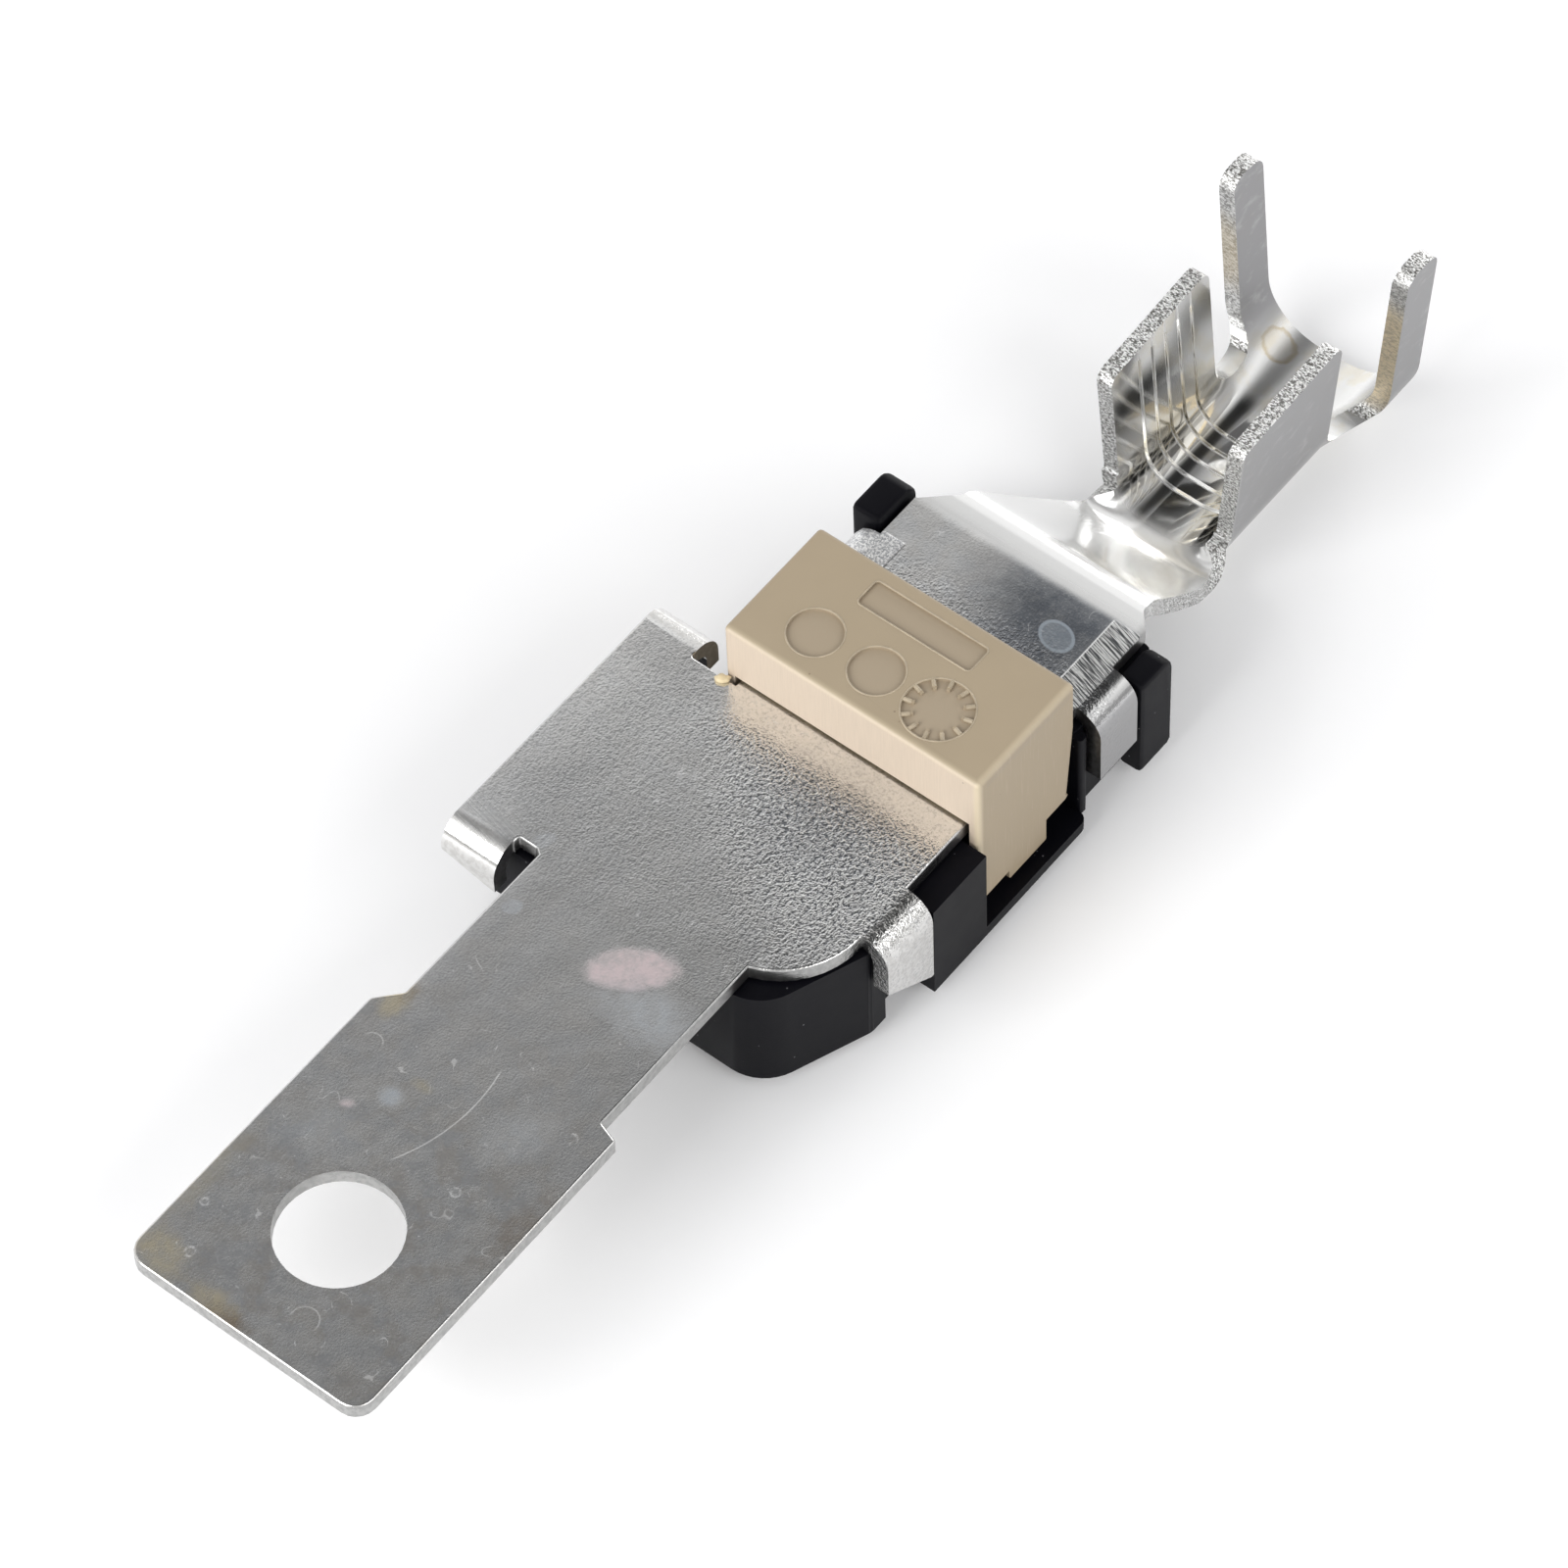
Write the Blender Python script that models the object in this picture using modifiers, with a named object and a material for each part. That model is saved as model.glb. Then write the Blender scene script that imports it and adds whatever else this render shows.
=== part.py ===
"""Battery terminal fuse: a folded copper strip with a ring end, a fuse bridge and an open crimp,
a moulded plastic carrier under it and a moulded cover over the bridge.

Lengths are in metres. The drawing datum is the centre of the bolt hole on the strip's top face,
with +X towards the cable and +Z up. The last step sets the finished part on its bounding box's
bottom centre.
"""
import math

import bmesh
import bpy
from mathutils import Matrix, Vector

MM = 0.001

# Sheet
SHEET = 1.2 * MM
TAB_BEND = 1.5 * MM
GAP = 0.3 * MM

# Ring end
HOLE_RADIUS = 4.2 * MM
NOSE = 9.3 * MM
RING_HALF_WIDTH = 9.45 * MM
RING_LENGTH = 15.3 * MM
STEP_RUN = 0.5 * MM
STEP_RUN_LEFT = 1.0 * MM
NECK_HALF_WIDTH = 7.95 * MM
RING_CORNER = 1.5 * MM

# Plate over the carrier
PLATE_RIGHT = -12.2 * MM
WING_LEFT = 14.2 * MM
WING_BACK_EXTRA = 0.55 * MM
WING_TRIM = 0.1 * MM
PLATE_FRONT = 28.7 * MM
PLATE_LENGTH = 18.1 * MM
SHOULDER_RADIUS = 6.35 * MM
RELIEF_DEPTH = 0.5 * MM
RELIEF_WIDTH = 1.5 * MM

# Fuse length and the plate behind it
STRIP_WIDTH = 18.4 * MM
BRIDGE_WIDTH = 4.0 * MM
BRIDGE_LENGTH = 5.4 * MM
BRIDGE_CORNER = 1.2 * MM
BACK_PLATE_LENGTH = 10.0 * MM

# Tabs: how far each outer face stands off its bend line, and how deep each one reaches
SIDE_TAB_WIDTH = 4.6 * MM
SIDE_TAB_DROP = 8.0 * MM
SIDE_TAB_SLANT = 3.2 * MM
END_TAB_WIDTH = 4.35 * MM
END_TAB_DROP = 3.4 * MM
END_TAB_SLANT = 1.2 * MM
BACK_TAB_WIDTH = 3.9 * MM
LEFT_TAB_WIDTH = 3.3 * MM
BACK_TAB_DROP = 6.4 * MM
TAB_SLANT_CORNER = 0.6 * MM

# Cover
COVER_LENGTH = 10.05 * MM
COVER_HEIGHT = 5.1 * MM
COVER_WALL = 1.3 * MM
COVER_END_WALL = 0.8 * MM
COVER_EDGE = 0.45 * MM
COVER_SKIRT = 6.7 * MM
COVER_FOOT = 8.0 * MM
COVER_TONGUE = 8.9 * MM
COVER_TONGUE_WIDTH = 3.9 * MM
COVER_FOOT_WIDTH = 3.15 * MM
COVER_TAPER = 0.7 * MM
MARK_DEPTH = 0.22 * MM
MARK_SHIFT = 0.35 * MM
MARK_RADIUS = 1.9 * MM
DIAL_RADIUS = 2.42 * MM
MARK_PITCH = 4.95 * MM
MARK_LINE = 3.2 * MM
WINDOW_LENGTH = 9.15 * MM
WINDOW_WIDTH = 2.25 * MM
WINDOW_CORNER = 0.35 * MM
DIAL_TICKS = 12

# Carrier
CARRIER_DEPTH = 10.6 * MM
CARRIER_WALL = 1.6 * MM
CARRIER_FLOOR = 0.95 * MM
NOSE_TURN = math.radians(21.7)
NOSE_START = -9.75 * MM
NOSE_RADIUS = 3.5 * MM
CARRIER_SIDE = 1.9 * MM
CARRIER_RECESS = 0.9 * MM
CARRIER_EDGE = 0.25 * MM
BACK_FLOOR_RISE = 0.4 * MM
POST_LENGTH = 3.4 * MM
POST_WIDTH = 2.4 * MM
POST_RISE = 0.8 * MM
RIGHT_POST_WIDTH = 1.9 * MM
RIGHT_POST_TOP = 0.9 * MM
GUARD_WIDTH = 0.85 * MM
POST_CHAMFER = 0.7 * MM
POST_ROUND = 0.4 * MM

# Cable end: its sheet stands off the plate's faces by a hair where the two join, so that none coincide
JOIN_STEP = 0.01 * MM
CRIMP_Y = -4.0 * MM
SLOPE_ANGLE = math.radians(48.0)
SLOPE_TOP_BEND = 2.2 * MM
SLOPE_FOOT_BEND = 4.0 * MM
CRIMP_DROP = 10.4 * MM
CONDUCTOR_LENGTH = 10.8 * MM
CONDUCTOR_HEIGHT = 13.8 * MM
CONDUCTOR_RISE = 0.85 * MM
CONDUCTOR_RIGHT_FLAT = 0.2 * MM
CONDUCTOR_RIGHT_RADIUS = 4.45 * MM
CONDUCTOR_LEFT_FLAT = 1.5 * MM
CONDUCTOR_LEFT_RADIUS = 3.15 * MM
CONDUCTOR_TURN = math.radians(85.5)
INSULATION_LENGTH = 3.3 * MM
INSULATION_HEIGHT = 18.15 * MM
WING_TOP_FALL = 0.04
INSULATION_FLAT = 0.9 * MM
INSULATION_RIGHT_RADIUS = 5.6 * MM
INSULATION_LEFT_RADIUS = 5.15 * MM
INSULATION_TURN = math.radians(86.0)
CRIMP_NOTCH = 4.5 * MM
NOTCH_HEIGHT = 2.6 * MM
WING_CORNER = 0.8 * MM
GROOVES = 5
GROOVE_START = 3.0 * MM
GROOVE_PITCH = 1.43 * MM
GROOVE_WIDTH = 0.35 * MM
GROOVE_DEPTH = 0.18 * MM

# Places that follow from the sizes
PLATE_END = PLATE_FRONT + PLATE_LENGTH
WING_END = PLATE_END + WING_BACK_EXTRA
STRIP_LEFT = PLATE_RIGHT + STRIP_WIDTH
COVER_FRONT = PLATE_END + GAP
COVER_BACK = COVER_FRONT + COVER_LENGTH
COVER_RIGHT = PLATE_RIGHT - GAP - COVER_END_WALL
COVER_LEFT = STRIP_LEFT + GAP + COVER_END_WALL
COVER_MIDDLE = (COVER_RIGHT + COVER_LEFT) / 2
MARK_MIDDLE = COVER_MIDDLE + MARK_SHIFT
WINDOW_MIDDLE = COVER_MIDDLE + MARK_SHIFT / 2
BACK_PLATE_END = COVER_BACK + BACK_PLATE_LENGTH
TAB_REACH = TAB_BEND + SHEET / 2
CARRIER_TOP = -SHEET - GAP
SHELF = -CARRIER_DEPTH + CARRIER_FLOOR
SHOULDER_X = PLATE_FRONT + 1.25 * MM + SHOULDER_RADIUS
SHOULDER_Y = PLATE_RIGHT + SHOULDER_RADIUS
SIDE_TAB_START = SHOULDER_X + 0.1 * MM
BACK_TAB_START = COVER_BACK + 1.45 * MM
BACK_TAB_END = BACK_TAB_START + BACK_TAB_WIDTH
CARRIER_FRONT = PLATE_FRONT + 0.1 * MM
CARRIER_BACK = BACK_TAB_END + GAP + POST_LENGTH
TAB_FACE = TAB_BEND + SHEET / 2 - SHEET - GAP


def clear_scene():
    for item in list(bpy.data.objects):
        bpy.data.objects.remove(item, do_unlink=True)


def new_collection(name):
    collection = bpy.data.collections.new(name)
    bpy.context.scene.collection.children.link(collection)
    return collection


def rounded(corners, steps=5):
    """Turns (x, y, radius) corners into outline points, with an arc at each corner that has a radius."""
    points = []
    count = len(corners)
    for index, (x, y, radius) in enumerate(corners):
        here = Vector((x, y))
        if radius <= 0:
            points.append(here)
            continue
        before = (Vector(corners[index - 1][:2]) - here).normalized()
        after = (Vector(corners[(index + 1) % count][:2]) - here).normalized()
        half = before.angle(after) / 2
        centre = here + (before + after).normalized() * (radius / math.sin(half))
        start = here + before * (radius / math.tan(half)) - centre
        sweep = math.pi - 2 * half
        if before.x * after.y - before.y * after.x > 0:
            sweep = -sweep
        for step in range(steps + 1):
            angle = sweep * step / steps
            cos, sin = math.cos(angle), math.sin(angle)
            points.append(centre + Vector((start.x * cos - start.y * sin, start.x * sin + start.y * cos)))
    return points


def circle(radius, centre=(0, 0), steps=32):
    turn = 2 * math.pi / steps
    return [Vector((centre[0] + radius * math.cos(turn * i), centre[1] + radius * math.sin(turn * i)))
            for i in range(steps)]


def extruded(name, outlines, depth, origin, along=(1, 0, 0), up=(0, 1, 0)):
    """Extrudes a filled outline by depth, centred on origin; along and up are the drawing's two axes."""
    curve = bpy.data.curves.new(name, "CURVE")
    curve.dimensions = "2D"
    curve.fill_mode = "BOTH"
    curve.extrude = depth / 2
    for outline in outlines:
        spline = curve.splines.new("POLY")
        spline.points.add(len(outline) - 1)
        for point, place in zip(spline.points, outline):
            point.co = (place[0], place[1], 0, 1)
        spline.use_cyclic_u = True
    flat = bpy.data.objects.new(name + "_outline", curve)
    bpy.context.scene.collection.objects.link(flat)
    depsgraph = bpy.context.evaluated_depsgraph_get()
    mesh = bpy.data.meshes.new_from_object(flat.evaluated_get(depsgraph))
    bpy.data.objects.remove(flat, do_unlink=True)
    mesh.name = name
    x_axis, y_axis = Vector(along), Vector(up)
    turn = Matrix((x_axis, y_axis, x_axis.cross(y_axis))).transposed().to_4x4()
    mesh.transform(Matrix.Translation(origin) @ turn)
    work = bmesh.new()
    work.from_mesh(mesh)
    bmesh.ops.remove_doubles(work, verts=work.verts, dist=0.001 * MM)
    bmesh.ops.recalc_face_normals(work, faces=work.faces)
    work.to_mesh(mesh)
    work.free()
    piece = bpy.data.objects.new(name, mesh)
    bpy.context.scene.collection.objects.link(piece)
    return piece


def plan(name, outlines, low, high):
    return extruded(name, outlines, high - low, (0, 0, (low + high) / 2))


def side_view(name, outlines, right, left):
    """Extrudes an outline drawn in X and Z from Y = right to Y = left."""
    return extruded(name, outlines, left - right, (0, (right + left) / 2, 0), (1, 0, 0), (0, 0, 1))


def rectangle(x0, y0, x1, y1, radius=0.0, steps=4):
    return rounded([(x0, y0, radius), (x1, y0, radius), (x1, y1, radius), (x0, y1, radius)], steps)


def apply_modifiers(piece):
    depsgraph = bpy.context.evaluated_depsgraph_get()
    mesh = bpy.data.meshes.new_from_object(piece.evaluated_get(depsgraph))
    piece.modifiers.clear()
    piece.data = mesh


def combine(piece, other, operation):
    """Adds a Boolean to the piece, applies it and moves the other solid to the cutters."""
    modifier = piece.modifiers.new(other.name, "BOOLEAN")
    modifier.operation = operation
    modifier.solver = "EXACT"
    modifier.object = other
    apply_modifiers(piece)
    bpy.context.scene.collection.objects.unlink(other)
    CUTTERS.objects.link(other)
    other.hide_render = True
    other.display_type = "WIRE"


def bevel(piece, width, segments=2, angle=40):
    modifier = piece.modifiers.new("edges", "BEVEL")
    modifier.width = width
    modifier.segments = segments
    modifier.limit_method = "ANGLE"
    modifier.angle_limit = math.radians(angle)
    apply_modifiers(piece)


# Copper strip

def strip_outline():
    """The flat outline from the ring's nose to just before the slope, anticlockwise from the nose."""
    ring_end = RING_LENGTH
    rise = math.asin((SHOULDER_Y + NECK_HALF_WIDTH) / SHOULDER_RADIUS)
    shoulder = []
    for step in range(9):
        angle = math.pi + rise + (math.pi / 2 - rise) * step / 8
        shoulder.append((SHOULDER_X + SHOULDER_RADIUS * math.cos(angle),
                         SHOULDER_Y + SHOULDER_RADIUS * math.sin(angle), 0))
    middle = (PLATE_RIGHT + STRIP_LEFT) / 2
    bridge_front = (COVER_FRONT + COVER_BACK - BRIDGE_LENGTH) / 2
    bridge_back = bridge_front + BRIDGE_LENGTH
    relief_left = WING_LEFT - END_TAB_WIDTH
    flat_end = BACK_PLATE_END - 1.5 * MM
    return rounded([
        (-NOSE, -RING_HALF_WIDTH, RING_CORNER),
        (ring_end, -RING_HALF_WIDTH, 0.2 * MM),
        (ring_end + STEP_RUN, -NECK_HALF_WIDTH, 0.2 * MM)] + shoulder + [
        (bridge_front, PLATE_RIGHT, 0),
        (bridge_front, middle - BRIDGE_WIDTH / 2, BRIDGE_CORNER),
        (bridge_back, middle - BRIDGE_WIDTH / 2, BRIDGE_CORNER),
        (bridge_back, PLATE_RIGHT, 0),
        (flat_end, PLATE_RIGHT, 0),
        (flat_end, STRIP_LEFT, 0),
        (bridge_back, STRIP_LEFT, 0),
        (bridge_back, middle + BRIDGE_WIDTH / 2, BRIDGE_CORNER),
        (bridge_front, middle + BRIDGE_WIDTH / 2, BRIDGE_CORNER),
        (bridge_front, STRIP_LEFT, 0),
        (PLATE_END, STRIP_LEFT, 0),
        (PLATE_END, relief_left - 0.05 * MM, 0.15 * MM),
        (WING_END, relief_left - 0.05 * MM, 0),
        (WING_END, WING_LEFT + WING_TRIM, 0),
        (PLATE_FRONT, WING_LEFT + WING_TRIM, 0),
        (PLATE_FRONT, relief_left - 0.1 * MM, 0),
        (PLATE_FRONT + RELIEF_DEPTH, relief_left - 0.1 * MM, 0.15 * MM),
        (PLATE_FRONT + RELIEF_DEPTH, relief_left - RELIEF_WIDTH, 0.15 * MM),
        (PLATE_FRONT + RELIEF_DEPTH - 0.3 * MM, NECK_HALF_WIDTH, 0),
        (ring_end + STEP_RUN, NECK_HALF_WIDTH, 0.4 * MM),
        (ring_end + STEP_RUN - STEP_RUN_LEFT - 0.6 * MM, RING_HALF_WIDTH, 0.8 * MM),
        (-NOSE, RING_HALF_WIDTH, RING_CORNER)])


def folded_tab(name, width, drop, middle, outward, slant=0.0, slant_side=0.0):
    """A tab that leaves the plate at middle, bends down through a right angle and ends drop below its top.

    slant takes a wedge off the free end, starting from the side given by the sign of slant_side.
    """
    outer, inner = TAB_BEND + SHEET / 2, TAB_BEND - SHEET / 2
    root, inset = 0.6 * MM, 0.2 * MM
    profile = [(-root, -inset), (0, -inset), (0, 0)]
    profile += [(outer * math.sin(a), -outer + outer * math.cos(a)) for a in quarter_turn(7)[1:]]
    profile += [(outer, -drop), (inner, -drop)]
    profile += [(inner * math.sin(a), -outer + inner * math.cos(a)) for a in reversed(quarter_turn(7)[1:])]
    profile += [(0, -SHEET), (0, inset - SHEET), (-root, inset - SHEET)]
    tab = extruded(name, [profile], width, middle, outward, (0, 0, 1))
    if slant:
        across = Vector(outward).cross(Vector((0, 0, 1)))
        half = width / 2
        edge = half * (1 if slant_side > 0 else -1)
        start = Vector(middle) + Vector(outward) * outer
        wedge = rounded([(-edge * 1.2, -drop - 1 * MM, 0), (edge * 1.2, -drop - 1 * MM, 0),
                         (edge * 1.2, -drop + slant * 1.1, 0), (-edge * 0.9, -drop, TAB_SLANT_CORNER)], 3)
        cutter = extruded(name + "_slant", [wedge], 4 * outer, start, across, (0, 0, 1))
        combine(tab, cutter, "DIFFERENCE")
    return tab


def quarter_turn(steps):
    return [math.pi / 2 * step / steps for step in range(steps + 1)]


def across_sheet(reach, flat, curve, limit):
    """Where a point lies that is reach from the middle of a sheet whose edges curl up, as (out, up)."""
    if reach <= flat or curve < 1e-6:
        return reach, 0.0
    turn = min(curve * (reach - flat), limit)
    rest = reach - flat - turn / curve
    return (flat + math.sin(turn) / curve + rest * math.cos(turn),
            (1 - math.cos(turn)) / curve + rest * math.sin(turn))


def trough_mesh(name, stations, columns, thickness):
    """A sheet through cross-sections given as (x, z, tilt, right, left, reach).

    right and left are the section's two halves, each as (flat, curve, limit). A column is a share of the station's reach, so the same columns fan out on the wide slope and
    close up at the crimp. A column above 1 is a wing: a station has it only where reach is negative.
    """
    mesh = bpy.data.meshes.new(name)
    work = bmesh.new()
    rows = []
    for x, z, tilt, right, left, reach in stations:
        row = {}
        for column in columns:
            if abs(column) > 1 and reach > 0:
                continue
            out, up = across_sheet(abs(column * reach), *(left if column > 0 else right))
            y = CRIMP_Y + math.copysign(out, column)
            row[column] = work.verts.new((x + up * math.sin(tilt), y, z + up * math.cos(tilt)))
        rows.append(row)
    for near, far in zip(rows, rows[1:]):
        for one, other in zip(columns, columns[1:]):
            corners = [near.get(one), far.get(one), far.get(other), near.get(other)]
            if None not in corners:
                work.faces.new(corners)
    bmesh.ops.recalc_face_normals(work, faces=work.faces)
    work.to_mesh(mesh)
    work.free()
    sheet = bpy.data.objects.new(name, mesh)
    bpy.context.scene.collection.objects.link(sheet)
    solidify = sheet.modifiers.new("thickness", "SOLIDIFY")
    solidify.thickness = thickness
    solidify.offset = 0.0
    solidify.use_even_offset = True
    apply_modifiers(sheet)
    return sheet


def slope_path():
    """Points (x, z, tilt, progress) along the sheet's middle, from the flat plate to the crimp floor."""
    top, foot = SLOPE_TOP_BEND, SLOPE_FOOT_BEND
    drop = CRIMP_DROP
    bends = (top + foot) * (1 - math.cos(SLOPE_ANGLE))
    straight = (drop - bends) / math.sin(SLOPE_ANGLE)
    x, z = BACK_PLATE_END - 0.1 * MM, -SHEET / 2
    points = [(x - 2.0 * MM, z, 0.0, 0.0)]
    for step in range(5):
        tilt = SLOPE_ANGLE * step / 4
        points.append((x + top * math.sin(tilt), z - top * (1 - math.cos(tilt)), tilt, 0.06 * step))
    x, z = points[-1][0], points[-1][1]
    for step in range(1, 6):
        share = step / 5
        points.append((x + straight * share * math.cos(SLOPE_ANGLE),
                       z - straight * share * math.sin(SLOPE_ANGLE), SLOPE_ANGLE, 0.24 + 0.42 * share))
    x, z = points[-1][0], points[-1][1]
    centre_x, centre_z = x + foot * math.sin(SLOPE_ANGLE), z + foot * math.cos(SLOPE_ANGLE)
    for step in range(1, 7):
        tilt = SLOPE_ANGLE * (1 - step / 6)
        points.append((centre_x - foot * math.sin(tilt), centre_z - foot * math.cos(tilt),
                       tilt, 0.66 + 0.34 * step / 6))
    return points


CRIMP_FLOOR = -SHEET / 2 - CRIMP_DROP
SLOPE_REACH = 11.0 * MM
CRIMP_REACH = 6.0 * MM
GROOVE_COLUMNS = [-2.3] + [step / 12 for step in range(-12, 13)] + [2.45]
CRIMP_FRONT = slope_path()[-1][0] + 0.5 * MM
CONDUCTOR_END = CRIMP_FRONT + CONDUCTOR_LENGTH
INSULATION_START = CONDUCTOR_END + CRIMP_NOTCH
CRIMP_END = INSULATION_START + INSULATION_LENGTH
FLOOR_BOTTOM = CRIMP_FLOOR - SHEET / 2


def blend(one, other, share):
    return tuple(a + (b - a) * share for a, b in zip(one, other))


def cable_end():
    """The slope, the conductor crimp and the insulation crimp, as one sheet cut to its two outlines."""
    near = [0.0, 0.1, 0.2] + [0.2 + 0.8 * step / 12 for step in range(1, 13)]
    wings = [1.08, 1.17, 1.26, 1.36, 1.46, 1.56, 3.7]
    columns = [-column for column in reversed(near[1:] + wings)] + [0.0] + near[1:] + wings
    right = (CONDUCTOR_RIGHT_FLAT, 1 / CONDUCTOR_RIGHT_RADIUS, CONDUCTOR_TURN)
    left = (CONDUCTOR_LEFT_FLAT, 1 / CONDUCTOR_LEFT_RADIUS, CONDUCTOR_TURN)
    grip_right = (INSULATION_FLAT, 1 / INSULATION_RIGHT_RADIUS, INSULATION_TURN)
    grip_left = (INSULATION_FLAT, 1 / INSULATION_LEFT_RADIUS, INSULATION_TURN)
    stations = []
    for x, z, tilt, progress in slope_path():
        reach = SLOPE_REACH + (CRIMP_REACH - SLOPE_REACH) * min(1.0, progress / 0.66)
        share = max(0.0, (progress - 0.24) / 0.76) ** 2.2
        halves = [(flat, curve * share, turn) for flat, curve, turn in (right, left)]
        stations.append((x, z, tilt, halves[0], halves[1], reach))
    for x in (CRIMP_FRONT - 0.3 * MM, CONDUCTOR_END):
        stations.append((x, CRIMP_FLOOR, 0.0, right, left, -CRIMP_REACH))
    for step in range(1, 5):
        share = step / 4
        stations.append((CONDUCTOR_END + CRIMP_NOTCH * share, CRIMP_FLOOR, 0.0,
                         blend(right, grip_right, share), blend(left, grip_left, share), -CRIMP_REACH))
    stations.append((CRIMP_END + 1 * MM, CRIMP_FLOOR, 0.0, grip_right, grip_left, -CRIMP_REACH))
    sheet = trough_mesh("cable_end", stations, columns, SHEET + 2 * JOIN_STEP)
    combine(sheet, crimp_side_view(), "INTERSECT")
    combine(sheet, slope_plan_view(), "INTERSECT")
    inside = [(flat, 1 / (1 / curve - SHEET / 2), turn) for flat, curve, turn in (right, left)]
    for index in range(GROOVES):
        x = CRIMP_FRONT + GROOVE_START + GROOVE_PITCH * index
        ends = [(x + side * GROOVE_WIDTH / 2, CRIMP_FLOOR + SHEET / 2, 0.0, inside[0], inside[1],
                 -CRIMP_REACH) for side in (-1, 1)]
        groove = trough_mesh("groove_%d" % index, ends, GROOVE_COLUMNS, 2 * GROOVE_DEPTH)
        combine(sheet, groove, "DIFFERENCE")
    return sheet


def crimp_side_view():
    """What the side view keeps: wing tops, the notch between the crimps and the low edge before them.

    The tops fall a little from the right wings to the left ones, so the outline is sheared across Y.
    """
    far = CRIMP_END + 2 * MM
    wing_top = FLOOR_BOTTOM + CONDUCTOR_HEIGHT
    grip_top = FLOOR_BOTTOM + INSULATION_HEIGHT
    low_edge = FLOOR_BOTTOM + 4.25 * MM
    notch = FLOOR_BOTTOM + NOTCH_HEIGHT
    deep = FLOOR_BOTTOM - 5 * MM
    corner = WING_CORNER
    outline = rounded([
        (BACK_PLATE_END - 4 * MM, deep, 0), (CRIMP_END, deep, 0),
        (CRIMP_END, grip_top, corner * 1.4), (INSULATION_START, grip_top, corner * 1.4),
        (INSULATION_START, notch, 1.6 * MM), (CONDUCTOR_END, notch, 1.6 * MM),
        (CONDUCTOR_END, wing_top + CONDUCTOR_RISE, corner), (CRIMP_FRONT, wing_top, corner),
        (CRIMP_FRONT, low_edge, 0.2 * MM), (CRIMP_FRONT - 0.9 * MM, low_edge, 0),
        (CRIMP_FRONT - 5.5 * MM, 3 * MM, 0), (BACK_PLATE_END - 4 * MM, 3 * MM, 0)], 4)
    view = side_view("crimp_side_view", [outline], CRIMP_Y - far, CRIMP_Y + far)
    for vertex in view.data.vertices:
        vertex.co.z -= WING_TOP_FALL * (vertex.co.y - CRIMP_Y)
    return view


def slope_plan_view():
    """What the plan view keeps: the slope narrows from the back plate's width to the crimp's."""
    line = BACK_PLATE_END
    foot = CRIMP_FRONT - 3.2 * MM
    wide, far = 30 * MM, CRIMP_END + 2 * MM
    neck = CONDUCTOR_LEFT_FLAT + CONDUCTOR_LEFT_RADIUS + SHEET / 2 + 0.2 * MM
    right, left = PLATE_RIGHT + JOIN_STEP, STRIP_LEFT - JOIN_STEP
    outline = rounded([
        (line - 4 * MM, right, 0), (line - 1.0 * MM, right, 0.3 * MM),
        (line + 0.2 * MM, PLATE_RIGHT + 1.1 * MM, 0.6 * MM),
        (foot, CRIMP_Y - neck - 0.7 * MM, 0), (foot + 1.6 * MM, CRIMP_Y - neck - 0.8 * MM, 0),
        (foot + 1.7 * MM, -wide, 0), (far, -wide, 0), (far, wide, 0), (foot + 1.7 * MM, wide, 0),
        (foot + 1.6 * MM, CRIMP_Y + neck + 0.8 * MM, 0), (foot, CRIMP_Y + neck, 0),
        (line + 0.4 * MM, STRIP_LEFT - 2.2 * MM, 0.8 * MM), (line - 1.6 * MM, left, 0.5 * MM),
        (line - 4 * MM, left, 0)], 3)
    return plan("slope_plan_view", [outline], FLOOR_BOTTOM - 10 * MM, 10 * MM)


def terminal_strip():
    strip = plan("terminal_strip", [strip_outline(), circle(HOLE_RADIUS, steps=40)], -SHEET, 0)
    side_x = SIDE_TAB_START + SIDE_TAB_WIDTH / 2
    back_right_x = BACK_TAB_START + BACK_TAB_WIDTH / 2
    back_left_x = BACK_TAB_START + LEFT_TAB_WIDTH / 2
    end_width = END_TAB_WIDTH + 3 * WING_TRIM
    wing_y = WING_LEFT - END_TAB_WIDTH + end_width / 2
    right, left, front, back = (0, -1, 0), (0, 1, 0), (-1, 0, 0), (1, 0, 0)
    tabs = [
        folded_tab("side_tab", SIDE_TAB_WIDTH, SIDE_TAB_DROP, (side_x, PLATE_RIGHT, 0), right,
                   SIDE_TAB_SLANT, 1),
        folded_tab("front_tab", end_width, END_TAB_DROP, (PLATE_FRONT, wing_y, 0), front,
                   END_TAB_SLANT, 1),
        folded_tab("rear_tab", end_width, END_TAB_DROP, (WING_END, wing_y, 0), back),
        folded_tab("back_tab_right", BACK_TAB_WIDTH, BACK_TAB_DROP, (back_right_x, PLATE_RIGHT, 0), right),
        folded_tab("back_tab_left", LEFT_TAB_WIDTH, BACK_TAB_DROP, (back_left_x, STRIP_LEFT, 0), left)]
    for tab in tabs:
        combine(strip, tab, "UNION")
    combine(strip, cable_end(), "UNION")
    trim = plan("wing_trim", [rectangle(PLATE_FRONT - 5 * MM, WING_LEFT, WING_END + 5 * MM,
                                        WING_LEFT + 2 * MM)], -8 * MM, 1 * MM)
    combine(strip, trim, "DIFFERENCE")
    return strip


# Carrier

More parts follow.
